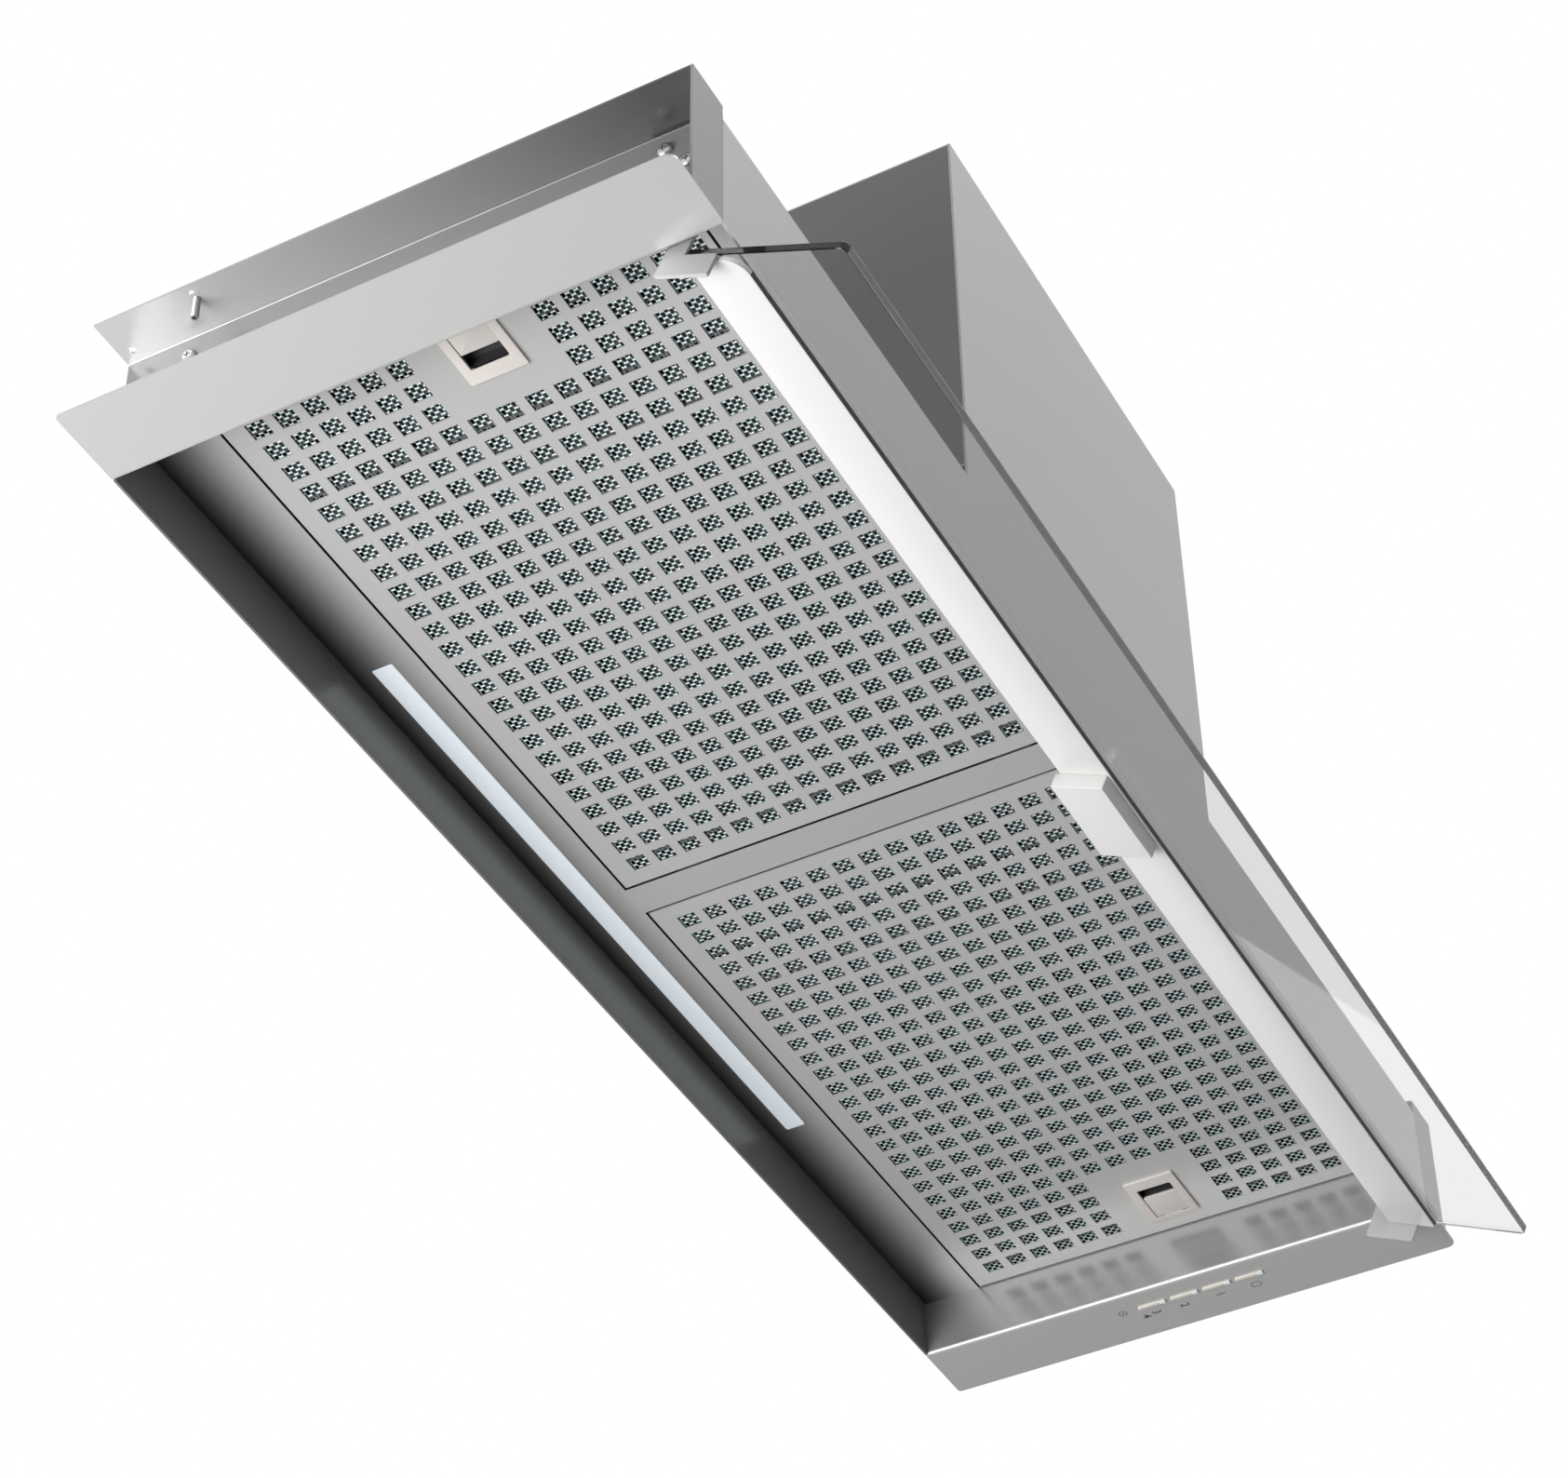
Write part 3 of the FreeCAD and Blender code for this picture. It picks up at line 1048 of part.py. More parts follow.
def shaft_room(start, length):
    """The running bore round the shaft."""
    return rod(SHAFT_DIAMETER / 2 + SHAFT_CLEARANCE, V(start, FAN_Y, FAN_Z), V(1, 0, 0), length)


def fan_motor():
    """Motor body with its bearing boss."""
    body = rod(MOTOR_RADIUS, V(MOTOR_FACE, FAN_Y, FAN_Z), V(1, 0, 0), MOTOR_LENGTH)
    rim = [edge for edge in body.Edges if abs(edge.CenterOfMass.x - MOTOR_FACE - MOTOR_LENGTH) < 1e-6]
    body = body.makeFillet(BEARING_LENGTH, rim)
    boss = rod(BEARING_RADIUS, V(MOTOR_FACE - MOUNT_PLATE - BEARING_LENGTH, FAN_Y, FAN_Z), V(1, 0, 0),
               BEARING_LENGTH + MOUNT_PLATE)
    length = BEARING_LENGTH + MOUNT_PLATE + MOTOR_LENGTH / 2 + SHAFT_CLEARANCE
    return fuse(body, boss).cut(shaft_room(MOTOR_FACE - MOUNT_PLATE - BEARING_LENGTH, length))


def motor_bracket():
    """Ring on the scroll, posts and plate that carry the motor."""
    axis = V(1, 0, 0)
    start = MOTOR_BOX_CENTRE + SCROLL_HALF + SCROLL_WALL
    outer = EYE_RADIUS + 4 * POST_RADIUS
    ring = tube(outer, EYE_RADIUS, V(start, FAN_Y, FAN_Z), axis, RING_THICKNESS)
    plate_x = MOTOR_FACE - MOUNT_PLATE
    plate = tube(MOTOR_RADIUS, BEARING_RADIUS, V(plate_x, FAN_Y, FAN_Z), axis, MOUNT_PLATE)
    pieces = [plate]
    post_circle = EYE_RADIUS + 2 * POST_RADIUS
    for i in range(POST_COUNT):
        a = 360.0 * i / POST_COUNT
        post = rod(POST_RADIUS, V(start, post_circle, 0), axis, plate_x + MOUNT_PLATE - start)
        arm = box(plate_x, plate_x + MOUNT_PLATE, MOTOR_RADIUS - POST_RADIUS, post_circle,
                  -POST_RADIUS, POST_RADIUS)
        limb = fuse(post, arm)
        limb.rotate(V(0, 0, 0), axis, a)
        limb.translate(V(0, FAN_Y, FAN_Z))
        pieces.append(limb)
    return fuse(ring, *pieces)


def duct_spigot():
    """Round collar for the duct, with a seat for the flaps."""
    centre = V(MOTOR_BOX_CENTRE, SPIGOT_Y, MOTOR_BOX_HEIGHT)
    up = V(0, 0, 1)
    flange = tube(SPIGOT_RADIUS + SPIGOT_FLANGE, SPIGOT_BORE, centre, up, SPIGOT_WALL)
    collar = tube(SPIGOT_RADIUS, SPIGOT_BORE, centre, up, SPIGOT_LENGTH)
    seat_foot = V(centre.x, centre.y, FLAP_SEAT - SPIGOT_WALL)
    seat = tube(SPIGOT_BORE, SPIGOT_BORE - LEDGE_WIDTH, seat_foot, up, SPIGOT_WALL)
    spigot = fuse(flange, collar, seat)
    return spigot.cut(damper_rod(0, 2 * SPIGOT_RADIUS))


def damper_rod(extra, length):
    """The flaps' axle as a bar along X."""
    end = V(MOTOR_BOX_CENTRE - length / 2, SPIGOT_Y, AXLE_Z)
    return rod(AXLE_DIAMETER / 2 + extra, end, V(1, 0, 0), length)


def damper_axle():
    """Rod across the spigot on which the flaps turn."""
    return damper_rod(0, 2 * SPIGOT_RADIUS)


def damper_flap(side, first):
    """Half-round flap: side is +1 behind the axle and -1 in front, first its first knuckle's place."""
    radius = SPIGOT_BORE - FLAP_CLEARANCE
    disc = rod(radius, V(MOTOR_BOX_CENTRE, SPIGOT_Y, FLAP_Z), V(0, 0, 1), FLAP_THICKNESS)
    edge = KNUCKLE_RADIUS + FLAP_CLEARANCE
    keep = box(MOTOR_BOX_CENTRE - WIDE, MOTOR_BOX_CENTRE + WIDE,
               SPIGOT_Y + side * edge, SPIGOT_Y + side * WIDE, 0, WIDE)
    pieces = []
    step = 2 * (KNUCKLE_LENGTH + KNUCKLE_GAP)
    reach = radius - KNUCKLE_LENGTH - KNUCKLE_GAP
    start = MOTOR_BOX_CENTRE - reach + first * (KNUCKLE_LENGTH + KNUCKLE_GAP)
    while start + KNUCKLE_LENGTH < MOTOR_BOX_CENTRE + reach:
        pieces.append(rod(KNUCKLE_RADIUS, V(start, SPIGOT_Y, AXLE_Z), V(1, 0, 0), KNUCKLE_LENGTH))
        pieces.append(box(start, start + KNUCKLE_LENGTH, SPIGOT_Y, SPIGOT_Y + side * 2 * edge,
                          FLAP_Z, FLAP_Z + FLAP_THICKNESS))
        start += step
    return fuse(disc.common(keep), *pieces).cut(damper_rod(KNUCKLE_CLEARANCE, WIDE))


# ---------------------------------------------------------------- mains connection
def terminal_box():
    """Open box on the deck for the mains terminals."""
    outer = box(TERMINAL_LEFT, TERMINAL_RIGHT, TERMINAL_FRONT, TERMINAL_BACK, 0, TERMINAL_HEIGHT)
    inner = box(TERMINAL_LEFT + TERMINAL_WALL, TERMINAL_RIGHT - TERMINAL_WALL, TERMINAL_FRONT + TERMINAL_WALL,
                TERMINAL_BACK - TERMINAL_WALL, TERMINAL_WALL, TERMINAL_HEIGHT)
    return outer.cut(inner).cut(gland_rod(GLAND_RADIUS - GLAND_FLANGE / 2, -TERMINAL_WALL, 0))


def gland_rod(radius, start, end):
    """A bar along the gland's axis between two distances from the box's back face."""
    x = (TERMINAL_LEFT + TERMINAL_RIGHT) / 2
    return rod(radius, V(x, TERMINAL_BACK + start, TERMINAL_HEIGHT / 2), V(0, 1, 0), end - start)


def terminal_lid():
    """Lid of the terminal box."""
    lid = box(TERMINAL_LEFT, TERMINAL_RIGHT, TERMINAL_FRONT, TERMINAL_BACK,
              TERMINAL_HEIGHT, TERMINAL_HEIGHT + TERMINAL_WALL)
    places = [(x, y, None) for x in (TERMINAL_LEFT, TERMINAL_RIGHT) for y in (TERMINAL_FRONT, TERMINAL_BACK)]
    return round_edges(lid, TERMINAL_WALL, V(0, 0, 1), places)


def cable_gland():
    """Gland where the mains cable enters."""
    neck = gland_rod(GLAND_RADIUS - GLAND_FLANGE / 2, -TERMINAL_WALL, 0)
    flange = gland_rod(GLAND_RADIUS, 0, GLAND_FLANGE)
    body = gland_rod(GLAND_RADIUS - GLAND_FLANGE / 2, GLAND_FLANGE, GLAND_LENGTH)
    return fuse(neck, flange, body).cut(gland_rod(GLAND_BORE_RADIUS, -TERMINAL_WALL, GLAND_LENGTH))


# ---------------------------------------------------------------- assembly
def make_parts():
    """Every piece by its node name."""
    parts = {
        "side_frame_right": switch_side_frame(),
        "side_frame_left": other_side(side_frame()),
        "back_panel": back_panel(),
        "front_panel": front_panel(),
        "top_deck": top_deck(),
        "rear_ceiling_panel": rear_ceiling_panel(),
        "front_ceiling_strip": front_ceiling_strip(),
        "middle_bar": middle_bar(),
        "wall_bolts": wall_bolts(),
        "wall_nuts": wall_nuts(),
        "levelling_screws": levelling_screws(),
        "lamp_diffuser": lamp_diffuser(),
        "lamp_channel": lamp_channel(),
        "lamp_board": lamp_board(),
        "lamp_driver": lamp_driver(),
        "visor_glass": glass_plate(),
        "visor_carrier_strip": carrier_strip(),
        "visor_handle": visor_handle(),
        "visor_handle_screws": handle_screws(),
        "visor_pivot_pins": visor_pivot_pins(),
        "visor_friction_washers": friction_washers(),
        "switch_housing": switch_housing(),
        "switch_board": switch_board(),
        "microswitches": microswitches(),
        "motor_box_shell": motor_box_shell(),
        "motor_box_cover": motor_box_cover(),
        "motor_box_screws": motor_box_screws(),
        "scroll_housing": scroll_housing(),
        "impeller": impeller(),
        "motor_shaft": motor_shaft(),
        "fan_motor": fan_motor(),
        "motor_bracket": motor_bracket(),
        "duct_spigot": duct_spigot(),
        "damper_axle": damper_axle(),
        "damper_flap_rear": damper_flap(1, 0),
        "damper_flap_front": damper_flap(-1, 1),
        "terminal_box": terminal_box(),
        "terminal_lid": terminal_lid(),
        "cable_gland": cable_gland(),
    }
    paired = {
        "closing_plate": closing_plate(),
        "filter_plate": filter_plate(),
        "filter_mesh": filter_mesh(),
        "filter_frame": filter_frame(),
        "latch_housing": latch_housing(),
        "latch_slider": latch_slider(),
        "visor_bracket": visor_bracket(),
    }
    for name, shape in paired.items():
        parts[name + "_right"] = shape
        parts[name + "_left"] = other_side(shape)
    names = ["button_high", "button_medium", "button_low", "button_light"]
    for name, y in zip(names, button_centres()):
        parts[name] = button(y)
    return parts


def main():
    os.makedirs("parts", exist_ok=True)
    for name, shape in sorted(make_parts().items()):
        if not shape.isValid() or shape.Volume <= 0:
            raise RuntimeError("bad solid: " + name)
        shape.exportStep("parts/" + name + ".step")
        print(name, len(shape.Solids), round(shape.Volume / 1000.0, 3), "cm3")


main()
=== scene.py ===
"""Looks of a built-in kitchen hood, laid over its fixed CAD frame."""

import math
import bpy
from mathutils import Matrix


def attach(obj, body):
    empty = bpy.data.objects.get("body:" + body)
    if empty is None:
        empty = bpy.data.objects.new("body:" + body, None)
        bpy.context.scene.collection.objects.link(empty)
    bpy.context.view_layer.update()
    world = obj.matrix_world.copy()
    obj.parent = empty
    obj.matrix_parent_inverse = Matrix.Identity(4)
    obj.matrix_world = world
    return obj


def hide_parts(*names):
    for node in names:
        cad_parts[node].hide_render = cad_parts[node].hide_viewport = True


bl_info = {
    "name": "Built-in Kitchen Hood",
    "version": (1, 0, 0),
    "blender": (4, 5, 0),
    "location": "View3D > Sidebar > Hood",
    "description": "Dresses the frame of a built-in kitchen hood with pieces, materials, lamps and a camera",
    "category": "Object",
}

import bmesh
import bpy
from bpy.props import FloatProperty, FloatVectorProperty, PointerProperty
from mathutils import Matrix, Vector

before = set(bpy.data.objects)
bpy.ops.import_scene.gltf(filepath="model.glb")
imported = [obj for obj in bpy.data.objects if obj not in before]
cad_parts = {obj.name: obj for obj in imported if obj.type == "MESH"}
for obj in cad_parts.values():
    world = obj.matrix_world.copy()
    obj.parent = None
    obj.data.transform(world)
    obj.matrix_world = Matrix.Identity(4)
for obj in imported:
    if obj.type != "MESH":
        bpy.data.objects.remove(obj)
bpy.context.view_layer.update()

MM = 0.001
SIDES = (("left", -1), ("right", 1))

# Places that the pieces share with the frame, in metres.
PIVOT = Vector((0, -0.2842, -0.0655))
TILT = math.radians(25.6)
CEILING = -0.041
TRIM_UNDER = -0.076
FILTER_BACK = -0.0306
FILTER_FRONT = -0.2816
FILTER_IN = 0.012
FILTER_OUT = 0.404
LATCH = Vector((0.372, -0.1609, CEILING))
COLLAR = Vector((-0.0245, -0.10775, 0.232))
BUTTONS = (("high", -0.13035), ("medium", -0.15045), ("low", -0.17055), ("light", -0.19065))
BUTTON_X = 0.4208
LEVELLING = Vector((0.4252, -0.0436, 0))
GLAND = Vector((-0.2765, -0.0392, 0.019))
FLANGE_UNDER = -1.5 * MM
LAMP_HALF = 0.2135
LAMP_FRONT = -0.0156
LAMP_BACK = -0.0042
MESH_LEVEL = CEILING + 0.95 * MM
MESH_PATCH = Vector((0.0260, 0.0205, 0))

# Wall bolts: y, z and how far the wall stands out there.
WALL_BOLTS = ((-0.0282, -0.0141, 0.0), (-0.2768, -0.0141, 1.2 * MM), (-0.2883, -0.0272, 1.2 * MM))
BOLT_SEAT = 0.4065
SHANK_END = 0.4005

# The visor laid flat about its pivot: half length, y of the front and back, z of the lower and upper face.
GLASS_HALF = 0.4017
GLASS_FRONT = -0.0889
GLASS_BACK = -0.0065
GLASS_LOW = -0.0137
GLASS_HIGH = -0.0097
STRIP_HALF = 0.4007
STRIP_FRONT = -0.0350
STRIP_LOW = -0.0162
GRIP_HALF = 0.0295
GRIP_FRONT = -0.0335
GRIP_BACK = -0.004
GRIP_LOW = -0.0242
ARM_INNER = 0.4010
ARM_OUTER = 0.4030
ARM_FRONT = -0.0238
ARM_BACK = 0.0050
ARM_LOW = -0.0256
ARM_TOP = 0.0060

# The latch about its centre: x and y limits of its parts on the filter's face, the walls' in mm.
LATCH_LIP = (-0.0205, 0.0205, -0.0150, 0.0150)
LATCH_MOUTH = (-12.0 * MM, 17.3 * MM, -10.2 * MM, 10.2 * MM)
LATCH_FLOOR = (-18.7 * MM, 18.7 * MM, -13.2 * MM, 13.2 * MM)
LATCH_WALLS = ((-18.7, 18.7, -13.2, -11.9), (-18.7, 18.7, 11.9, 13.2), (-18.7, -12.0, -11.9, 11.9),
               (17.3, 18.7, -11.9, -5.3), (17.3, 18.7, 5.3, 11.9))
LATCH_FACE = (-2.8 * MM, 17.0 * MM, -9.9 * MM, 9.9 * MM)
LATCH_REAR = (-2.2 * MM, 16.8 * MM, -9.7 * MM, 9.7 * MM)
LATCH_TONGUE = (16.6 * MM, 33.0 * MM, -5 * MM, 5 * MM)

# The printed marks: x and y.
NUMERALS = (("4", 0.4309, -0.1225), ("3", 0.4295, -0.1293), ("2", 0.4307, -0.1466), ("1", 0.4304, -0.1689))
RING = (0.4219, -0.1117)
LIGHT_SIGN = (0.4312, -0.1913)


# ---------------------------------------------------------------- node graphs
class Value:
    """One socket of a graph. Arithmetic on it adds Math nodes."""

    def __init__(self, graph, socket):
        self.graph = graph
        self.socket = socket

    def do(self, operation, *others):
        values = dict(enumerate((self,) + others))
        return self.graph.node("ShaderNodeMath", {"operation": operation}, values)[0]

    def __add__(self, other):
        return self.do("ADD", other)

    __radd__ = __add__

    def __mul__(self, other):
        return self.do("MULTIPLY", other)

    def __sub__(self, other):
        return self.do("SUBTRACT", other)

    def __rsub__(self, other):
        return self.graph.node("ShaderNodeMath", {"operation": "SUBTRACT"}, {0: other, 1: self})[0]

    def __gt__(self, other):
        return self.do("GREATER_THAN", other)

    def __lt__(self, other):
        return self.do("LESS_THAN", other)

    def __abs__(self):
        return self.do("ABSOLUTE")


class Outputs:
    """The outputs of one node, by name or place."""

    def __init__(self, graph, made):
        self.graph = graph
        self.made = made

    def __getitem__(self, key):
        return Value(self.graph, self.made.outputs[key])


class Graph:
    """A node tree that is written as expressions."""

    def __init__(self, tree):
        self.tree = tree

    def node(self, kind, settings=None, values=None):
        """Add a node, give it its settings first, then fill or link its sockets."""
        made = self.tree.nodes.new(kind)
        for key, setting in (settings or {}).items():
            setattr(made, key, setting)
        for key, value in (values or {}).items():
            if isinstance(value, Value):
                self.tree.links.new(value.socket, made.inputs[key])
            else:
                made.inputs[key].default_value = value
        return Outputs(self, made)


class Finish(Graph):
    """A material with one surface shader."""

    def __init__(self, name):
        self.material = bpy.data.materials.new(name)
        self.material.use_nodes = True
        super().__init__(self.material.node_tree)
        self.tree.nodes.clear()
        self.place = self.node("ShaderNodeTexCoord")["Object"]

    def stretched(self, scale):
        """Object position, scaled by axis."""
        values = {0: self.place, 1: scale}
        return self.node("ShaderNodeVectorMath", {"operation": "MULTIPLY"}, values)["Vector"]

    def noise(self, scale, detail=2.0, rough=0.5, size=(1.0, 1.0, 1.0)):
        """Soft noise from 0 to 1."""
        values = {"Vector": self.stretched(size), "Scale": scale, "Detail": detail, "Roughness": rough}
        return self.node("ShaderNodeTexNoise", {}, values)["Fac"]

    def axes(self):
        """The object position's x, y and z."""
        split = self.node("ShaderNodeSeparateXYZ", {}, {0: self.place})
        return split[0], split[1], split[2]

    def mix(self, mask, first, second):
        """Blend two colours by a mask."""
        return self.node("ShaderNodeMix", {"data_type": "RGBA"}, {0: mask, 6: first, 7: second})[2]

    def bump(self, height, strength, distance):
        """Small relief."""
        values = {"Height": height, "Strength": strength, "Distance": distance}
        return self.node("ShaderNodeBump", {}, values)[0]

    def surface(self, **values):
        """The shader and the output. Names use _ for a space."""
        named = {key.replace("_", " "): value for key, value in values.items()}
        shader = self.node("ShaderNodeBsdfPrincipled", {}, named)
        self.node("ShaderNodeOutputMaterial", {}, {"Surface": shader["BSDF"]})
        return self.material


def rgba(colour, factor=1.0):
    """A colour with full alpha."""
    return tuple(channel * factor for channel in colour[:3]) + (1.0,)


# ---------------------------------------------------------------- finishes
def satin_steel(name, colour, grain, roughness=0.30):
    """Stainless sheet with fine rolled lines along one axis."""
    finish = Finish(name)
    lines = finish.noise(1.0, 3.0, 0.6, grain)
    patches = finish.noise(9.0, 2.0)
    tone = lines * 0.6 + patches * 0.4
    base = finish.mix(tone, rgba(colour, 0.93), rgba(colour, 1.05))
    rough = roughness - 0.05 + lines * 0.07 + patches * 0.04
    return finish.surface(Base_Color=base, Metallic=0.35, Roughness=rough,
                          Normal=finish.bump(lines, 0.06, 0.0002))


def frame_steel(name, colour):
    """Satin sheet of the end frames with painted shade: full tone on the trim, darker up the wall and on the
    flange's front.
    """
    finish = Finish(name)
    lines = finish.noise(1.0, 3.0, 0.6, (900.0, 6.0, 900.0))
    _, y, z = finish.axes()
    wall = z > TRIM_UNDER + 2 * MM
    flange = z > FLANGE_UNDER
    front = (y * -3.0).do("MINIMUM", 0.85)
    # Painted shade: the wall is taken down to half tone, and the flange fades to dark towards its front.
    tone = 1.0 - wall * 0.5 + flange * (0.5 - front) + (lines - 0.5) * 0.03
    base = finish.mix(tone, rgba(colour, 0.05), rgba(colour))
    return finish.surface(Base_Color=base, Metallic=0.35, Roughness=0.24 + lines * 0.04,
                          Normal=finish.bump(lines, 0.03, 0.0001))


def tray_steel(name, colour):
    """Satin sheet above the hood's mouth with painted shade: darker towards the back wall and inside the
    gaps.
    """
    finish = Finish(name)
    lines = finish.noise(1.0, 3.0, 0.6, (6.0, 900.0, 900.0))
    _, y, z = finish.axes()
    # Painted shade: nearly black inside the gaps above the ceiling, and a painted shadow of the back wall
    # that fades out towards the front.
    inside = z > CEILING + 0.3 * MM
    painted_back_shade = (y * -30.0 + 0.15).do("MINIMUM", 1.0).do("MAXIMUM", 0.0)
    tone = painted_back_shade * (1.0 - inside * 0.95) + (lines - 0.5) * 0.06
    base = finish.mix(tone, rgba(colour, 0.05), rgba(colour))
    return finish.surface(Base_Color=base, Metallic=0.35, Roughness=0.26 + lines * 0.08,
                          Normal=finish.bump(lines, 0.06, 0.0002))


def coated_sheet(name, colour):
    """Plain grey coated sheet with a faint orange-peel."""
    finish = Finish(name)
    peel = finish.noise(900.0, 1.0)
    cloud = finish.noise(6.0, 3.0)
    base = finish.mix(cloud, rgba(colour, 0.95), rgba(colour, 1.05))
    return finish.surface(Base_Color=base, Metallic=0.35, Roughness=0.48 + (cloud - 0.5) * 0.08,
                          Normal=finish.bump(peel, 0.05, 0.0002))


def enamel(name, colour, roughness=0.3):
    """Smooth paint."""
    finish = Finish(name)
    cloud = finish.noise(14.0, 2.0)
    peel = finish.noise(1300.0, 1.0)
    base = finish.mix(cloud, rgba(colour, 0.98), rgba(colour, 1.02))
    return finish.surface(Base_Color=base, Roughness=roughness + cloud * 0.05,
                          Normal=finish.bump(peel, 0.03, 0.0001))


def moulded(name, colour, roughness=0.5):
    """Moulded plastic with fine spark grain."""
    finish = Finish(name)
    spark = finish.noise(1500.0, 2.0)
    cloud = finish.noise(25.0, 2.0)
    base = finish.mix(cloud, rgba(colour, 0.96), rgba(colour, 1.04))
    return finish.surface(Base_Color=base, Roughness=roughness + (spark - 0.5) * 0.12,
                          Normal=finish.bump(spark, 0.12, 0.0001))


def plated(name, colour):
    """Zinc-plated steel."""
    finish = Finish(name)
    cloud = finish.noise(240.0, 3.0)
    base = finish.mix(cloud, rgba(colour, 0.85), rgba(colour, 1.05))
    return finish.surface(Base_Color=base, Metallic=1.0, Roughness=0.26 + cloud * 0.16)


def strand_metal(name, colour):
    """Rolled aluminium strand."""
    finish = Finish(name)
    cloud = finish.noise(500.0, 2.0)
    base = finish.mix(cloud, rgba(colour, 0.8), rgba(colour, 1.1))
    return finish.surface(Base_Color=base, Metallic=0.3, Roughness=0.42 + cloud * 0.1)


def packed_mesh(name, colour):
    """Deeper layers of expanded metal, as a dark net painted for the shade inside the pad."""
    finish = Finish(name)
    x, y, _ = finish.axes()
    along = (x * 1900.0 + y * 2300.0).do("SINE")
    across = (x * 1900.0 - y * 2300.0).do("SINE")
    net = abs(along * across)
    cloud = finish.noise(60.0, 2.0)
    # Painted shade: the net runs between 0.12 and 0.75 of a near-black colour.
    base = finish.mix(net * (cloud + 0.2), rgba(colour, 0.12), rgba(colour, 0.75))
    return finish.surface(Base_Color=base, Metallic=0.3, Roughness=0.6)


def clear_glass(name, tint, frost=0.0):
    """Toughened float glass, frosted where it is ground."""
    finish = Finish(name)
    haze = finish.noise(30.0, 1.0)
    return finish.surface(Base_Color=rgba(tint), Roughness=frost + haze * 0.02, IOR=1.5,
                          Transmission_Weight=1.0)


def frosted_lamp(name, colour):
    """Opal cover that glows evenly."""
    finish = Finish(name)
    grain = finish.noise(700.0, 1.0)
    glow = finish.mix(grain, rgba(colour, 0.97), rgba(colour))
    return finish.surface(Base_Color=rgba(colour, 0.6), Roughness=0.4, Emission_Color=glow,
                          Emission_Strength=0.4)


def circuit(name, colour):
    """Circuit board with tracks under its mask."""
    finish = Finish(name)
    x, y, _ = finish.axes()
    tracks = ((x * 2600.0).do("SINE") * (y * 1700.0).do("SINE")) > 0.4
    base = finish.mix(tracks, rgba(colour), rgba((0.10, 0.36, 0.18)))
    return finish.surface(Base_Color=base, Roughness=0.3)


def print_ink(name, colour):
    """Printed mark."""
    finish = Finish(name)
    grain = finish.noise(4000.0, 1.0)
    base = finish.mix(grain, rgba(colour, 0.9), rgba(colour, 1.1))
    return finish.surface(Base_Color=base, Roughness=0.6)


FINISHES = {}


def make_finishes(looks):
    """All materials of the hood, by name."""
    steel = looks.steel_colour
    grey = looks.sheet_colour
    plastic = looks.plastic_colour
    FINISHES.update({
        # Painted light: the end frames take a brighter copy of the steel (1.14), and frame_steel paints shade
        # up the wall and on the flange.
        "trim steel": frame_steel("trim steel", rgba(steel, 1.14)),
        "tray steel": tray_steel("tray steel", steel),
        # Painted shade: the back panel takes a darker copy of the same steel, at 0.4 of its tone.
        "back steel": satin_steel("back steel", rgba(steel, 0.4), (6.0, 900.0, 900.0)),
        "filter steel": satin_steel("filter steel", rgba(steel, 1.1), (6.0, 700.0, 700.0), 0.38),
        "grey sheet": coated_sheet("grey sheet", grey),
        # Painted shade: the closing plates take a darker copy of the same grey sheet, at 0.62 of its tone.
        "closing sheet": coated_sheet("closing sheet", rgba(grey, 0.62)),
        # Painted shade: the motor box takes a darker copy of the same grey sheet, at 0.36 of its tone.
        "box sheet": coated_sheet("box sheet", rgba(grey, 0.36)),
        "zinc": plated("zinc", (0.62, 0.63, 0.64)),
        # Painted shade: the aluminium filter frames are made near black so the gaps round the filters read
        # dark.
        "aluminium frame": satin_steel("aluminium frame", (0.10, 0.10, 0.105), (900.0, 8.0, 900.0), 0.42),
        "mesh strand": strand_metal("mesh strand", (0.50, 0.59, 0.59)),
        "mesh depth": packed_mesh("mesh depth", (0.045, 0.05, 0.055)),
        "glass": clear_glass("glass", (0.845, 0.845, 0.845)),
        "ground edge": clear_glass("ground edge", (0.98, 0.99, 0.99), 0.15),
        # Painted shadow and reflection: a near-black finish for the thin band along the carrier strip's front
        # edge.
        "strip seal": moulded("strip seal", (0.05, 0.05, 0.052)),
        "white enamel": enamel("white enamel", (0.62, 0.62, 0.61)),
        "pale enamel": enamel("pale enamel", (0.46, 0.46, 0.455)),
        "grip plastic": moulded("grip plastic", (0.64, 0.64, 0.63)),
        "latch plastic": moulded("latch plastic", plastic),
        "button plastic": moulded("button plastic", (0.70, 0.66, 0.60), 0.4),
        "window plastic": moulded("window plastic", (0.82, 0.90, 0.98), 0.2),
        "lamp cover": frosted_lamp("lamp cover", (0.87, 0.94, 1.0)),
        "white plastic": moulded("white plastic", (0.75, 0.75, 0.74)),
        "black plastic": moulded("black plastic", (0.035, 0.035, 0.038)),
        "fan plastic": moulded("fan plastic", (0.09, 0.095, 0.10)),
        "motor paint": enamel("motor paint", (0.05, 0.05, 0.055), 0.4),
        "circuit board": circuit("circuit board", (0.02, 0.16, 0.07)),
        "mark ink": print_ink("mark ink", (0.05, 0.05, 0.055)),
    })


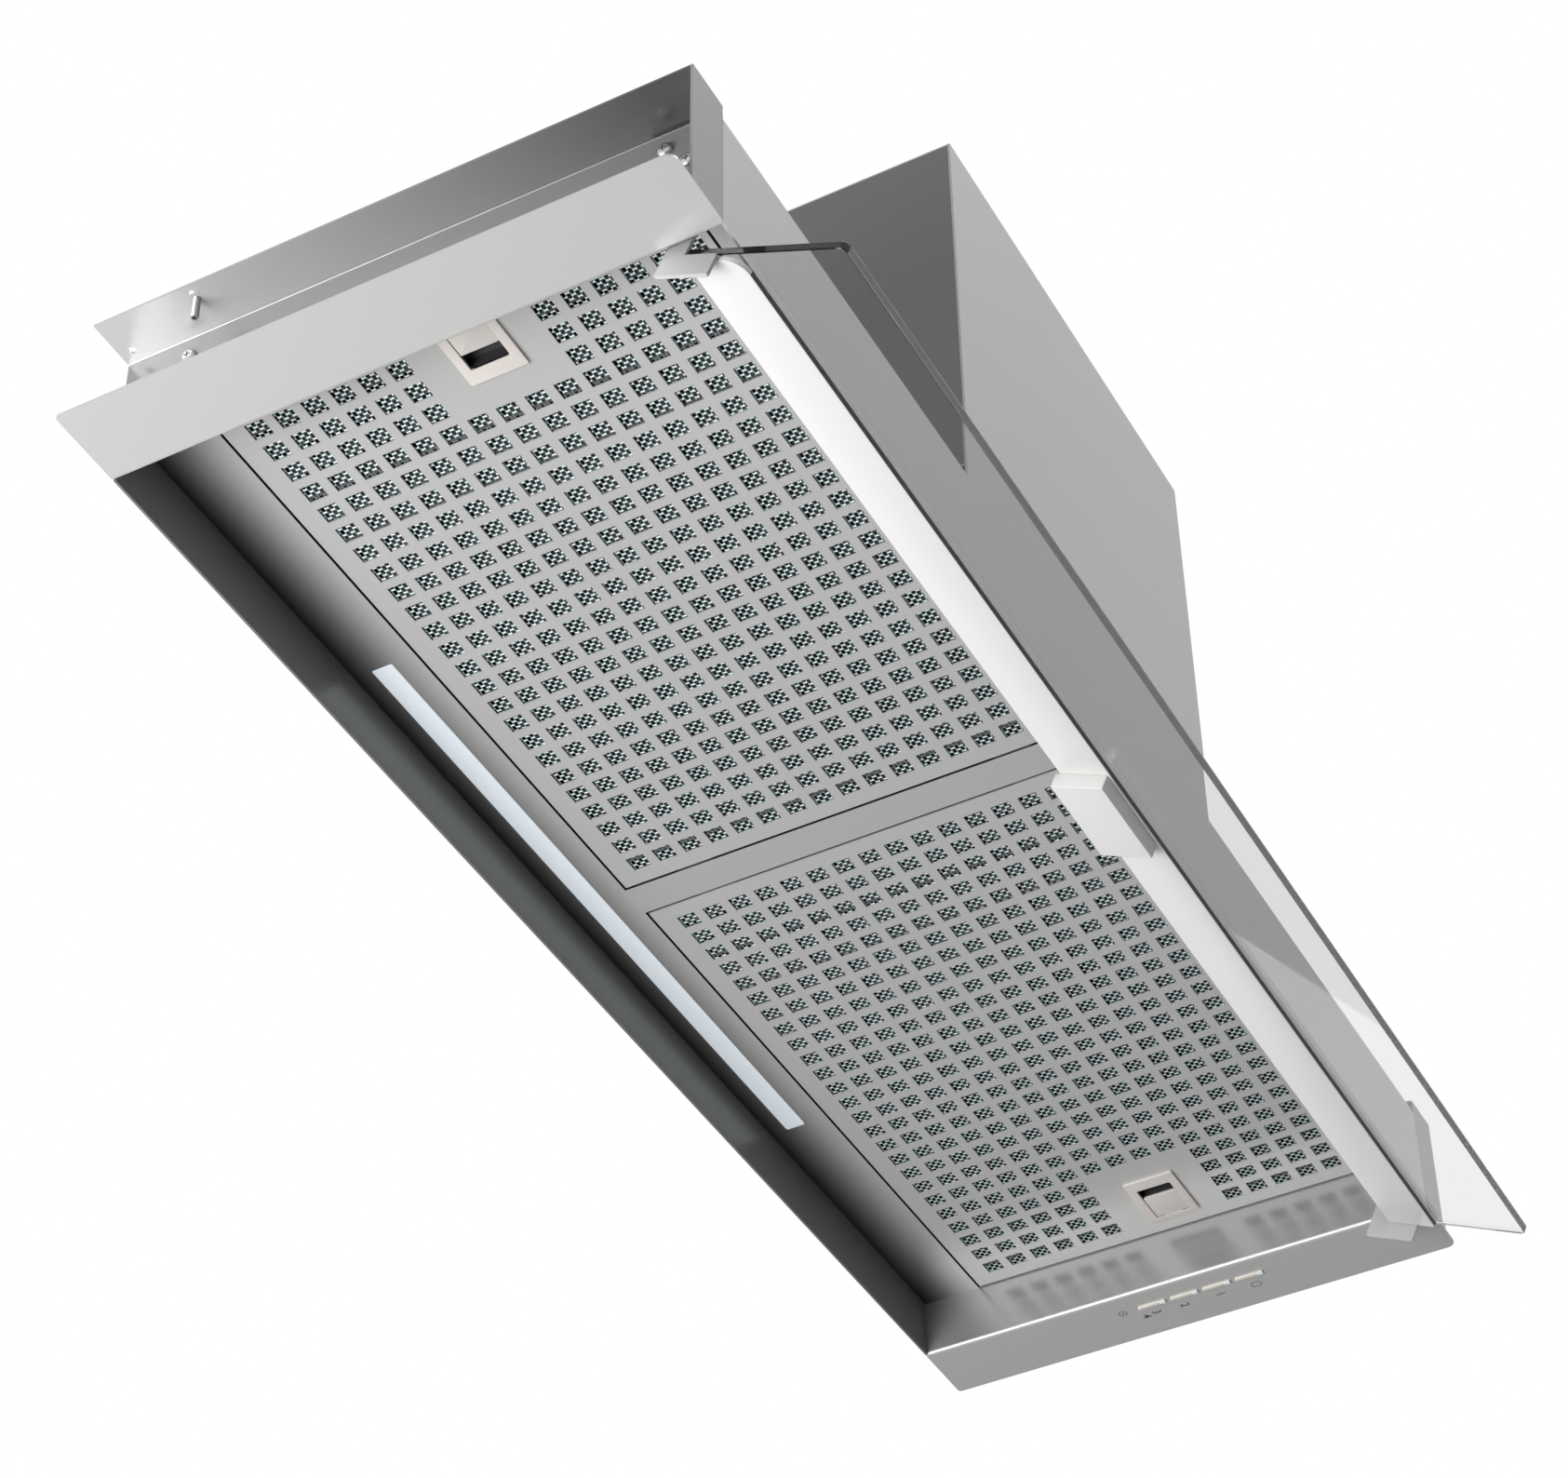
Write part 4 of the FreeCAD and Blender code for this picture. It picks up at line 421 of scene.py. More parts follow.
NODE_FINISH = {
    "trim steel": ("side_frame_left", "side_frame_right"),
    "back steel": ("back_panel",),
    "tray steel": ("rear_ceiling_panel", "front_ceiling_strip", "middle_bar"),
    "filter steel": ("filter_plate_left", "filter_plate_right"),
    "closing sheet": ("closing_plate_left", "closing_plate_right"),
    "grey sheet": ("front_panel", "top_deck", "motor_box_cover", "motor_bracket", "lamp_channel"),
    "box sheet": ("motor_box_shell",),
    "zinc": ("wall_nuts", "motor_box_screws", "visor_handle_screws", "visor_pivot_pins", "damper_axle",
             "motor_shaft"),
    "aluminium frame": ("filter_frame_left", "filter_frame_right"),
    "mesh depth": ("filter_mesh_left", "filter_mesh_right"),
    "white plastic": ("lamp_driver", "visor_friction_washers"),
    "black plastic": ("switch_housing", "microswitches", "terminal_box", "terminal_lid"),
    "fan plastic": ("scroll_housing", "impeller", "damper_flap_rear", "damper_flap_front"),
    "motor paint": ("fan_motor",),
    "circuit board": ("switch_board", "lamp_board"),
}


# ---------------------------------------------------------------- mesh helpers
def link(name, data):
    """A new object in the scene."""
    thing = bpy.data.objects.new(name, data)
    bpy.context.scene.collection.objects.link(thing)
    return thing


def evaluated(thing):
    """The mesh of an object with its modifiers applied."""
    graph = bpy.context.evaluated_depsgraph_get()
    return bpy.data.meshes.new_from_object(thing.evaluated_get(graph))


def new_object(name, mesh, finish, smooth=None):
    """A finished piece at the origin, with smooth shading below an angle in degrees."""
    thing = link(name, mesh)
    mesh.materials.clear()
    mesh.materials.append(FINISHES[finish])
    if smooth is not None:
        mesh.shade_smooth()
        mesh.set_sharp_from_angle(angle=math.radians(smooth))
    return thing


def declare(thing, body, slot, *nodes):
    """Say what a piece rides on and which nodes it replaces. The slot is not used."""
    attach(thing, body)
    if nodes:
        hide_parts(*nodes)


def rounded_outline(x0, x1, y0, y1, radii, steps=6):
    """Corner points of a rectangle in order (x0,y0), (x1,y0), (x1,y1), (x0,y1), each with its radius."""
    corners = ((x0, y0, 180), (x1, y0, 270), (x1, y1, 0), (x0, y1, 90))
    points = []
    for (x, y, start), radius in zip(corners, radii):
        inward_x = radius if x == x0 else -radius
        inward_y = radius if y == y0 else -radius
        if radius == 0:
            points.append((x, y))
            continue
        for i in range(steps + 1):
            angle = math.radians(start + 90.0 * i / steps)
            points.append((x + inward_x + radius * math.cos(angle), y + inward_y + radius * math.sin(angle)))
    return points


def slab(points, z0, z1, edge=0.0, segments=3):
    """A plate from an outline. An edge above 0 rounds its upper and lower edges."""
    work = bmesh.new()
    ring = [work.verts.new((x, y, z0)) for x, y in points]
    face = work.faces.new(ring)
    face.normal_update()
    raised = bmesh.ops.extrude_face_region(work, geom=[face])
    moved = [item for item in raised["geom"] if isinstance(item, bmesh.types.BMVert)]
    bmesh.ops.translate(work, verts=moved, vec=(0, 0, z1 - z0))
    bmesh.ops.recalc_face_normals(work, faces=work.faces)
    if edge:
        rims = [item for item in work.edges if abs(item.verts[0].co.z - item.verts[1].co.z) < 1e-9]
        bmesh.ops.bevel(work, geom=rims, offset=edge, segments=segments, affect="EDGES", profile=0.5,
                        clamp_overlap=True)
    return work


def lathe(profile, steps=64):
    """A closed solid of revolution about Z from (radius, z) points."""
    work = bmesh.new()
    rings = []
    for radius, z in profile:
        ring = []
        for i in range(steps):
            angle = 2 * math.pi * i / steps
            ring.append(work.verts.new((radius * math.cos(angle), radius * math.sin(angle), z)))
        rings.append(ring)
    for lower, upper in zip(rings, rings[1:] + rings[:1]):
        for i in range(steps):
            j = (i + 1) % steps
            work.faces.new((lower[i], lower[j], upper[j], upper[i]))
    bmesh.ops.remove_doubles(work, verts=work.verts, dist=1e-7)
    bmesh.ops.dissolve_degenerate(work, dist=1e-7, edges=work.edges)
    bmesh.ops.recalc_face_normals(work, faces=work.faces)
    return work


def to_mesh(work, name, matrix=None):
    """Finish a bmesh as a mesh, moved by a matrix."""
    if matrix is not None:
        bmesh.ops.transform(work, matrix=matrix, verts=work.verts)
        if matrix.determinant() < 0:
            bmesh.ops.reverse_faces(work, faces=work.faces)
    mesh = bpy.data.meshes.new(name)
    work.to_mesh(mesh)
    work.free()
    return mesh


def block(x0, x1, y0, y1, z0, z1, corner=0.0, edge=0.0, segments=3, steps=6):
    """A box from its six limits, with radii for its upright corners and its upper and lower edges."""
    return slab(rounded_outline(x0, x1, y0, y1, (corner,) * 4, steps), z0, z1, edge, segments)


def merge(target, extra, matrix=None):
    """Add one bmesh to another, moved by a matrix, and free it."""
    part = to_mesh(extra, "part", matrix)
    target.from_mesh(part)
    bpy.data.meshes.remove(part)


def carve(name, solid, tool, own=False):
    """Cut one bmesh out of another and return the result's mesh."""
    base = link(name, to_mesh(solid, name))
    cutter = link(name + "_cut", to_mesh(tool, name + "_cut"))
    cut = base.modifiers.new("cut", "BOOLEAN")
    cut.operation = "DIFFERENCE"
    cut.solver = "EXACT"
    cut.use_self = own
    cut.object = cutter
    mesh = evaluated(base)
    bpy.data.objects.remove(base)
    bpy.data.objects.remove(cutter)
    return mesh


def open_visor():
    """From the visor's flat layout about its pivot to its open slope."""
    return Matrix.Translation(PIVOT) @ Matrix.Rotation(TILT, 4, "X")


def mirror_for(side):
    """Mirrors a piece for the left. The right one is drawn."""
    return Matrix.Scale(-1, 4, (1, 0, 0)) if side < 0 else Matrix.Identity(4)


# ---------------------------------------------------------------- geometry node trees
class Layout(Graph):
    """A geometry node tree with named inputs."""

    def __init__(self, name, inputs):
        super().__init__(bpy.data.node_groups.new(name, "GeometryNodeTree"))
        self.tree.interface.new_socket("Geometry", in_out="INPUT", socket_type="NodeSocketGeometry")
        self.sockets = {}
        for label, kind in inputs:
            made = self.tree.interface.new_socket(label, in_out="INPUT", socket_type="NodeSocket" + kind)
            self.sockets[label] = made.identifier
        self.tree.interface.new_socket("Geometry", in_out="OUTPUT", socket_type="NodeSocketGeometry")
        self.given = self.node("NodeGroupInput")

    def finish(self, geometry):
        """Realize, set the material and end the tree."""
        real = self.node("GeometryNodeRealizeInstances", {}, {0: geometry})["Geometry"]
        values = {"Geometry": real, "Material": self.given["Material"]}
        painted = self.node("GeometryNodeSetMaterial", {}, values)
        self.node("NodeGroupOutput", {}, {0: painted["Geometry"]})

    def make(self, name, base, finish, values):
        """Run the tree on a base mesh and return the result as a plain object."""
        carrier = link(name + "_carrier", base)
        modifier = carrier.modifiers.new("layout", "NODES")
        modifier.node_group = self.tree
        for label, value in values.items():
            modifier[self.sockets[label]] = value
        modifier[self.sockets["Material"]] = FINISHES[finish]
        carrier.update_tag()
        mesh = evaluated(carrier)
        carrier.modifiers.clear()
        bpy.data.objects.remove(carrier)
        if not mesh.polygons:
            raise RuntimeError("no faces in " + name)
        return link(name, mesh)


def point_mesh(points):
    """Loose vertices for a tree to work on."""
    mesh = bpy.data.meshes.new("points")
    mesh.from_pydata([tuple(point) for point in points], [], [])
    return mesh


def stamp_layout():
    """Tree that puts a copy of one small object on each point, turned."""
    layout = Layout("stamp", (("Stamp", "Object"), ("Turn", "Vector"), ("Material", "Material")))
    shape = layout.node("GeometryNodeObjectInfo", {}, {"Object": layout.given["Stamp"]})["Geometry"]
    turn = layout.node("FunctionNodeEulerToRotation", {}, {0: layout.given["Turn"]})[0]
    placed = layout.node("GeometryNodeInstanceOnPoints", {},
                         {"Points": layout.given["Geometry"], "Instance": shape, "Rotation": turn})
    layout.finish(placed["Instances"])
    return layout


def strand_layout():
    """Tree that lays mesh cells on points and leaves the latch's patch free."""
    inputs = (("Cell", "Object"), ("Cell Length", "Float"), ("Cell Width", "Float"),
              ("Patch Centre", "Vector"), ("Patch Reach", "Vector"), ("Material", "Material"))
    layout = Layout("strands", inputs)
    given = layout.given
    place = layout.node("GeometryNodeInputPosition")["Position"]
    here = layout.node("ShaderNodeSeparateXYZ", {}, {0: place})
    centre = layout.node("ShaderNodeSeparateXYZ", {}, {0: given["Patch Centre"]})
    reach = layout.node("ShaderNodeSeparateXYZ", {}, {0: given["Patch Reach"]})
    near_x = abs(here[0] - centre[0]) < reach[0]
    near_y = abs(here[1] - centre[1]) < reach[1]
    values = {"Geometry": given["Geometry"], "Selection": near_x * near_y}
    kept = layout.node("GeometryNodeDeleteGeometry", {"domain": "POINT"}, values)["Geometry"]
    shape = layout.node("GeometryNodeObjectInfo", {}, {"Object": given["Cell"]})["Geometry"]
    sides = {0: given["Cell Length"], 1: given["Cell Width"], 2: 1.0}
    size = layout.node("ShaderNodeCombineXYZ", {}, sides)[0]
    values = {"Points": kept, "Instance": shape, "Scale": size}
    placed = layout.node("GeometryNodeInstanceOnPoints", {}, values)
    layout.finish(placed["Instances"])
    return layout


# ---------------------------------------------------------------- settings
class HoodLooks(bpy.types.PropertyGroup):
    """Colours of the hood."""

    steel_colour: FloatVectorProperty(name="Steel", description="Colour of the stainless sheet",
                                      subtype="COLOR", size=3, min=0, max=1, default=(0.50, 0.50, 0.495))
    sheet_colour: FloatVectorProperty(name="Grey Sheet", description="Colour of the front and the motor box",
                                      subtype="COLOR", size=3, min=0, max=1, default=(0.50, 0.505, 0.51))
    plastic_colour: FloatVectorProperty(name="Latch Plastic", description="Colour of the filter latches",
                                        subtype="COLOR", size=3, min=0, max=1, default=(0.62, 0.58, 0.55))


class HoodSizes(bpy.types.PropertyGroup):
    """Sizes of the finer pieces."""

    cell_length: FloatProperty(name="Mesh Cell Length", description="Long way of a cell in the grease mesh",
                               unit="LENGTH", default=4.2 * MM)
    cell_width: FloatProperty(name="Mesh Cell Width", description="Short way of a cell in the grease mesh",
                              unit="LENGTH", default=4.4 * MM)
    glass_arris: FloatProperty(name="Glass Arris", description="Ground edge of the visor glass",
                               unit="LENGTH", default=0.6 * MM)
    thread_pitch: FloatProperty(name="Thread Pitch", description="Pitch of the levelling screws",
                                unit="LENGTH", default=0.7 * MM)


# ---------------------------------------------------------------- operators
class HOOD_OT_finishes(bpy.types.Operator):
    """Give every carried-over CAD node its material."""

    bl_idname = "hood.finishes"
    bl_label = "Frame Finishes"

    def execute(self, context):
        make_finishes(context.scene.hood_looks)
        for finish, nodes in NODE_FINISH.items():
            for node in nodes:
                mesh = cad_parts[node].data
                mesh.materials.clear()
                mesh.materials.append(FINISHES[finish])
        return {"FINISHED"}


class HOOD_OT_visor(bpy.types.Operator):
    """Make the glass visor with its strip, grip and brackets."""

    bl_idname = "hood.visor"
    bl_label = "Glass Visor"

    def execute(self, context):
        arris = context.scene.hood_sizes.glass_arris
        corners = (3 * MM, 3 * MM, 0.4 * MM, 0.4 * MM)
        plate = slab(rounded_outline(-GLASS_HALF, GLASS_HALF, GLASS_FRONT + 0.2 * MM, GLASS_BACK, corners),
                     GLASS_LOW, GLASS_HIGH, arris, 1)
        self.piece("visor_glass_plate", plate, "glass", None, "glass", "visor_glass")
        ground = GLASS_HALF - 3.2 * MM
        edge = block(-ground, ground, GLASS_FRONT, GLASS_FRONT + 0.4 * MM, GLASS_LOW + 0.05 * MM,
                     GLASS_HIGH - 0.05 * MM, 0.1 * MM, steps=2)
        self.piece("visor_glass_edge", edge, "ground edge", None, "glass")
        corners = (10 * MM, 1.5 * MM, 0.5 * MM, 0.5 * MM)
        strip = slab(rounded_outline(-STRIP_HALF, STRIP_HALF, STRIP_FRONT, GLASS_BACK, corners, 10),
                     STRIP_LOW, GLASS_LOW, 0.2 * MM)
        self.piece("visor_strip", strip, "white enamel", 40, "white_paint", "visor_carrier_strip")
        # Painted shadow and reflection: a thin black band along the strip's front edge stands for the strip's
        # shadow and mirror image seen in the glass.
        edge_shade_band = block(-STRIP_HALF + 10.2 * MM, STRIP_HALF - 1.2 * MM, STRIP_FRONT - 0.3 * MM,
                     STRIP_FRONT + 0.1 * MM, STRIP_LOW + 0.2 * MM, GLASS_LOW - 0.1 * MM, 0.1 * MM, steps=2)
        self.piece("visor_strip_seal", edge_shade_band, "strip seal", None, "dark_plastic")
        grip = block(-GRIP_HALF, GRIP_HALF, GRIP_FRONT, GRIP_BACK, GRIP_LOW, STRIP_LOW, 0.6 * MM, 0.4 * MM)
        self.piece("visor_grip", grip, "grip plastic", 40, "handle_grey", "visor_handle")
        for label, side in SIDES:
            self.bracket(label, side)
        return {"FINISHED"}

    def piece(self, name, work, finish, smooth, slot, *nodes):
        """One visor piece, set at the open slope."""
        thing = new_object(name, to_mesh(work, name, open_visor()), finish, smooth)
        declare(thing, "visor", slot, *nodes)

    def bracket(self, label, side):
        """One bracket: the plate is drawn in its own plane and stood up."""
        corner = 1.5 * MM
        points = [(ARM_FRONT, ARM_LOW), (ARM_BACK, ARM_LOW), (ARM_BACK, ARM_TOP), (GLASS_BACK, ARM_TOP),
                  (GLASS_BACK, GLASS_LOW), (ARM_FRONT, GLASS_LOW)]
        outline = []
        for i, point in enumerate(points):
            here = Vector(point)
            before = (Vector(points[i - 1]) - here).normalized()
            after = (Vector(points[(i + 1) % len(points)]) - here).normalized()
            turn = before.x * after.y - before.y * after.x
            if turn > 0:
                outline.append(point)
                continue
            for share in (0.0, 0.25, 0.5, 0.75, 1.0):
                near = (here + before * corner * (1 - share)).lerp(here, share)
                far = here + after * corner * share
                outline.append(tuple(near.lerp(far, share)))
        work = slab(outline, ARM_INNER, ARM_OUTER, 0.35 * MM, 2)
        stand = Matrix(((0, 0, 1, 0), (1, 0, 0, 0), (0, 1, 0, 0), (0, 0, 0, 1)))
        mesh = to_mesh(work, "visor_arm_" + label, mirror_for(side) @ open_visor() @ stand)
        arm = new_object("visor_arm_" + label, mesh, "pale enamel", 40)
        declare(arm, "visor", "bracket_grey", "visor_bracket_" + label)


class HOOD_OT_filter_mesh(bpy.types.Operator):
    """Lay expanded metal behind the filter plates' holes."""

    bl_idname = "hood.filter_mesh"
    bl_label = "Grease Mesh"

    def execute(self, context):
        sizes = context.scene.hood_sizes
        cell = self.cell()
        layout = strand_layout()
        for label, side in SIDES:
            points = self.cells(side, sizes.cell_length, sizes.cell_width)
            values = {"Cell": cell, "Cell Length": sizes.cell_length, "Cell Width": sizes.cell_width,
                      "Patch Centre": Vector((side * LATCH.x, LATCH.y, 0)),
                      "Patch Reach": MESH_PATCH}
            net = layout.make("grease_mesh_" + label, point_mesh(points), "mesh strand", values)
            declare(net, "filter_" + label, "aluminium")
        bpy.data.objects.remove(cell)
        return {"FINISHED"}

    def cells(self, side, length, width):
        """Centres of the staggered cells inside the filter's rim. The outer front corner stays free."""
        points = []
        low_x, high_x = FILTER_IN + 4 * MM, FILTER_OUT - 5.5 * MM
        low_y, high_y = FILTER_FRONT + 3 * MM, FILTER_BACK - 3 * MM
        row = 0
        y = low_y
        while y < high_y:
            x = low_x + (length / 2 if row % 2 else 0)
            while x < high_x:
                if not (x > FILTER_OUT - 10 * MM and y < FILTER_FRONT + 18 * MM):
                    points.append((side * x, y, MESH_LEVEL))
                x += length
            y += width / 2
            row += 1
        return points

    def cell(self):
        """One slot with its slanted strands, a unit long and half a unit wide."""
        work = bmesh.new()
        rim = ((-0.5, 0), (-0.5, -0.25), (0.5, -0.25), (0.5, 0), (0.5, 0.25), (-0.5, 0.25))
        gap = ((-0.40, 0), (-0.31, -0.20), (0.31, -0.20), (0.40, 0), (0.31, 0.20), (-0.31, 0.20))
        outer = [work.verts.new((x, y, 0)) for x, y in rim]
        inner = [work.verts.new((x, y, 0.35 * MM)) for x, y in gap]
        for i in range(6):
            j = (i + 1) % 6
            work.faces.new((outer[i], inner[i], inner[j], outer[j]))
        return link("cell", to_mesh(work, "cell"))


class HOOD_OT_latches(bpy.types.Operator):
    """Make the moulded filter latches with their sliders."""

    bl_idname = "hood.latches"
    bl_label = "Filter Latches"

    def execute(self, context):
        for label, side in SIDES:
            self.surround(label, side)
            self.slider(label, side)
        return {"FINISHED"}

    def piece(self, name, work, side, finish, smooth, body, slot, *nodes):
        """One latch piece, set in its filter."""
        place = mirror_for(side) @ Matrix.Translation(LATCH)
        thing = new_object(name, to_mesh(work, name, place), finish, smooth)
        declare(thing, body, slot, *nodes)

    def surround(self, label, side):
        """The lip, and the pocket behind it, painted black for the shade inside it."""
        lip = block(*LATCH_LIP, -1.5 * MM, 0.0, 1.0 * MM, 0.25 * MM)
        mouth = block(*LATCH_MOUTH, -3 * MM, 3 * MM, 1.0 * MM)
        opened = bmesh.new()
        opened.from_mesh(carve("latch_lip", lip, mouth))
        self.piece("latch_surround_" + label, opened, side, "latch plastic", 35, "filter_" + label,
                   "light_plastic", "latch_housing_" + label)
        # Painted shade: the pocket takes black plastic for the shade inside it.
        pocket = block(*LATCH_FLOOR, 6.5 * MM, 8.0 * MM)
        for limits in LATCH_WALLS:
            merge(pocket, block(*(limit * MM for limit in limits), -1.0 * MM, 6.5 * MM))
        self.piece("latch_pocket_" + label, pocket, side, "black plastic", None, "filter_" + label,
                   "dark_plastic")

    def slider(self, label, side):
        """The finger slider: a smooth face, and the block behind it with its tongue, painted black for the
        shade behind the face.
        """
        face = block(*LATCH_FACE, -1.0 * MM, 0.6 * MM, 0.8 * MM, 0.2 * MM, 2)
        self.piece("latch_thumb_" + label, face, side, "latch plastic", 35, "latch_" + label,
                   "light_plastic", "latch_slider_" + label)
        # Painted shade: the block behind the face takes black plastic for the shade seen round the face.
        rear = block(*LATCH_REAR, 0.5 * MM, 6.2 * MM, 0.8 * MM)
        merge(rear, block(*LATCH_TONGUE, 2.4 * MM, 4.6 * MM, 0.0, 0.3 * MM, 2))
        self.piece("latch_block_" + label, rear, side, "black plastic", None, "latch_" + label,
                   "dark_plastic")


class HOOD_OT_lamp(bpy.types.Operator):
    """Make the strip lamp's opal cover."""

    bl_idname = "hood.lamp"
    bl_label = "Strip Lamp"

    def execute(self, context):
        work = block(-LAMP_HALF, LAMP_HALF, LAMP_FRONT, LAMP_BACK, CEILING, CEILING + 3 * MM, 1.2 * MM,
                     0.35 * MM, 2)
        cover = new_object("lamp_cover", to_mesh(work, "lamp_cover"), "lamp cover", 40)
        declare(cover, "casing", "diffuser", "lamp_diffuser")
        return {"FINISHED"}


class HOOD_OT_buttons(bpy.types.Operator):
    """Make the push buttons with their light windows."""

    bl_idname = "hood.buttons"
    bl_label = "Push Buttons"

    def execute(self, context):
        face = TRIM_UNDER - 1.0 * MM
        half = 1.3 * MM
        reach = 8.65 * MM
        stem = 1.2 * MM
        for label, y in BUTTONS:
            name = "button_" + label
            cap = block(BUTTON_X - half, BUTTON_X + half, y - reach, y + reach, face, face + 4 * MM,
                        0.7 * MM, 0.35 * MM)
            merge(cap, block(BUTTON_X - stem, BUTTON_X + stem, y - stem, y + stem, face + 3.9 * MM,
                             face + 10.0 * MM))
            thing = new_object(name + "_cap", to_mesh(cap, name + "_cap"), "button plastic", 40)
            declare(thing, name, "light_plastic", name)
            front = y - 8.3 * MM
            pane = block(BUTTON_X - stem, BUTTON_X + stem, front, front + 3.3 * MM, face - 0.06 * MM,
                         face + 0.5 * MM, 0.4 * MM, 0.05 * MM, 1, 3)
            window = new_object(name + "_window", to_mesh(pane, name + "_window"), "window plastic", 40)
            declare(window, name, "light_plastic")
        return {"FINISHED"}


class HOOD_OT_marks(bpy.types.Operator):
    """Print the plain marks beside the buttons."""

    bl_idname = "hood.marks"
    bl_label = "Button Marks"

    def execute(self, context):
        marks = bmesh.new()
        for text, x, y in NUMERALS:
            self.add_text(marks, text, x, y)
        self.add_band(marks, *RING, (2.6 * MM,) * 4, 0.5 * MM)
        self.add_band(marks, *RING, (0.7 * MM,) * 4, 0.69 * MM)
        self.add_band(marks, *LIGHT_SIGN, (2.3 * MM, 3.2 * MM, 2.3 * MM, 0.7 * MM), 0.5 * MM)
        thing = new_object("button_marks", to_mesh(marks, "button_marks"), "mark ink")
        declare(thing, "casing", "dark_plastic")
        return {"FINISHED"}

    def add_text(self, marks, text, x, y):
        """One numeral, read from below with its top towards the front."""
        curve = bpy.data.curves.new("numeral", "FONT")
        curve.body = text
        curve.size = 7.6 * MM
        curve.offset = 0.04 * MM
        curve.align_x = "CENTER"
        curve.align_y = "CENTER"
        curve.extrude = 0.02 * MM
        carrier = link("numeral", curve)
        mesh = evaluated(carrier)
        bpy.data.objects.remove(carrier)
        mesh.transform(Matrix.Translation((x, y, TRIM_UNDER)) @ Matrix.Rotation(math.pi, 4, "X"))
        marks.from_mesh(mesh)

    def add_band(self, marks, x, y, shape, width):
        """A closed printed line round (half width, half length, front radius, rear radius)."""
        rims = []
        for inset in (0.0, width):
            half, reach, front, rear = (value - inset for value in shape)
            points = rounded_outline(x - half, x + half, y - reach, y + reach,
                                     (front, front, max(rear, 0.01 * MM), max(rear, 0.01 * MM)))
            rims.append([marks.verts.new((px, py, TRIM_UNDER - 0.02 * MM)) for px, py in points])
        for i in range(len(rims[0])):
            j = (i + 1) % len(rims[0])
            marks.faces.new((rims[0][j], rims[0][i], rims[1][i], rims[1][j]))


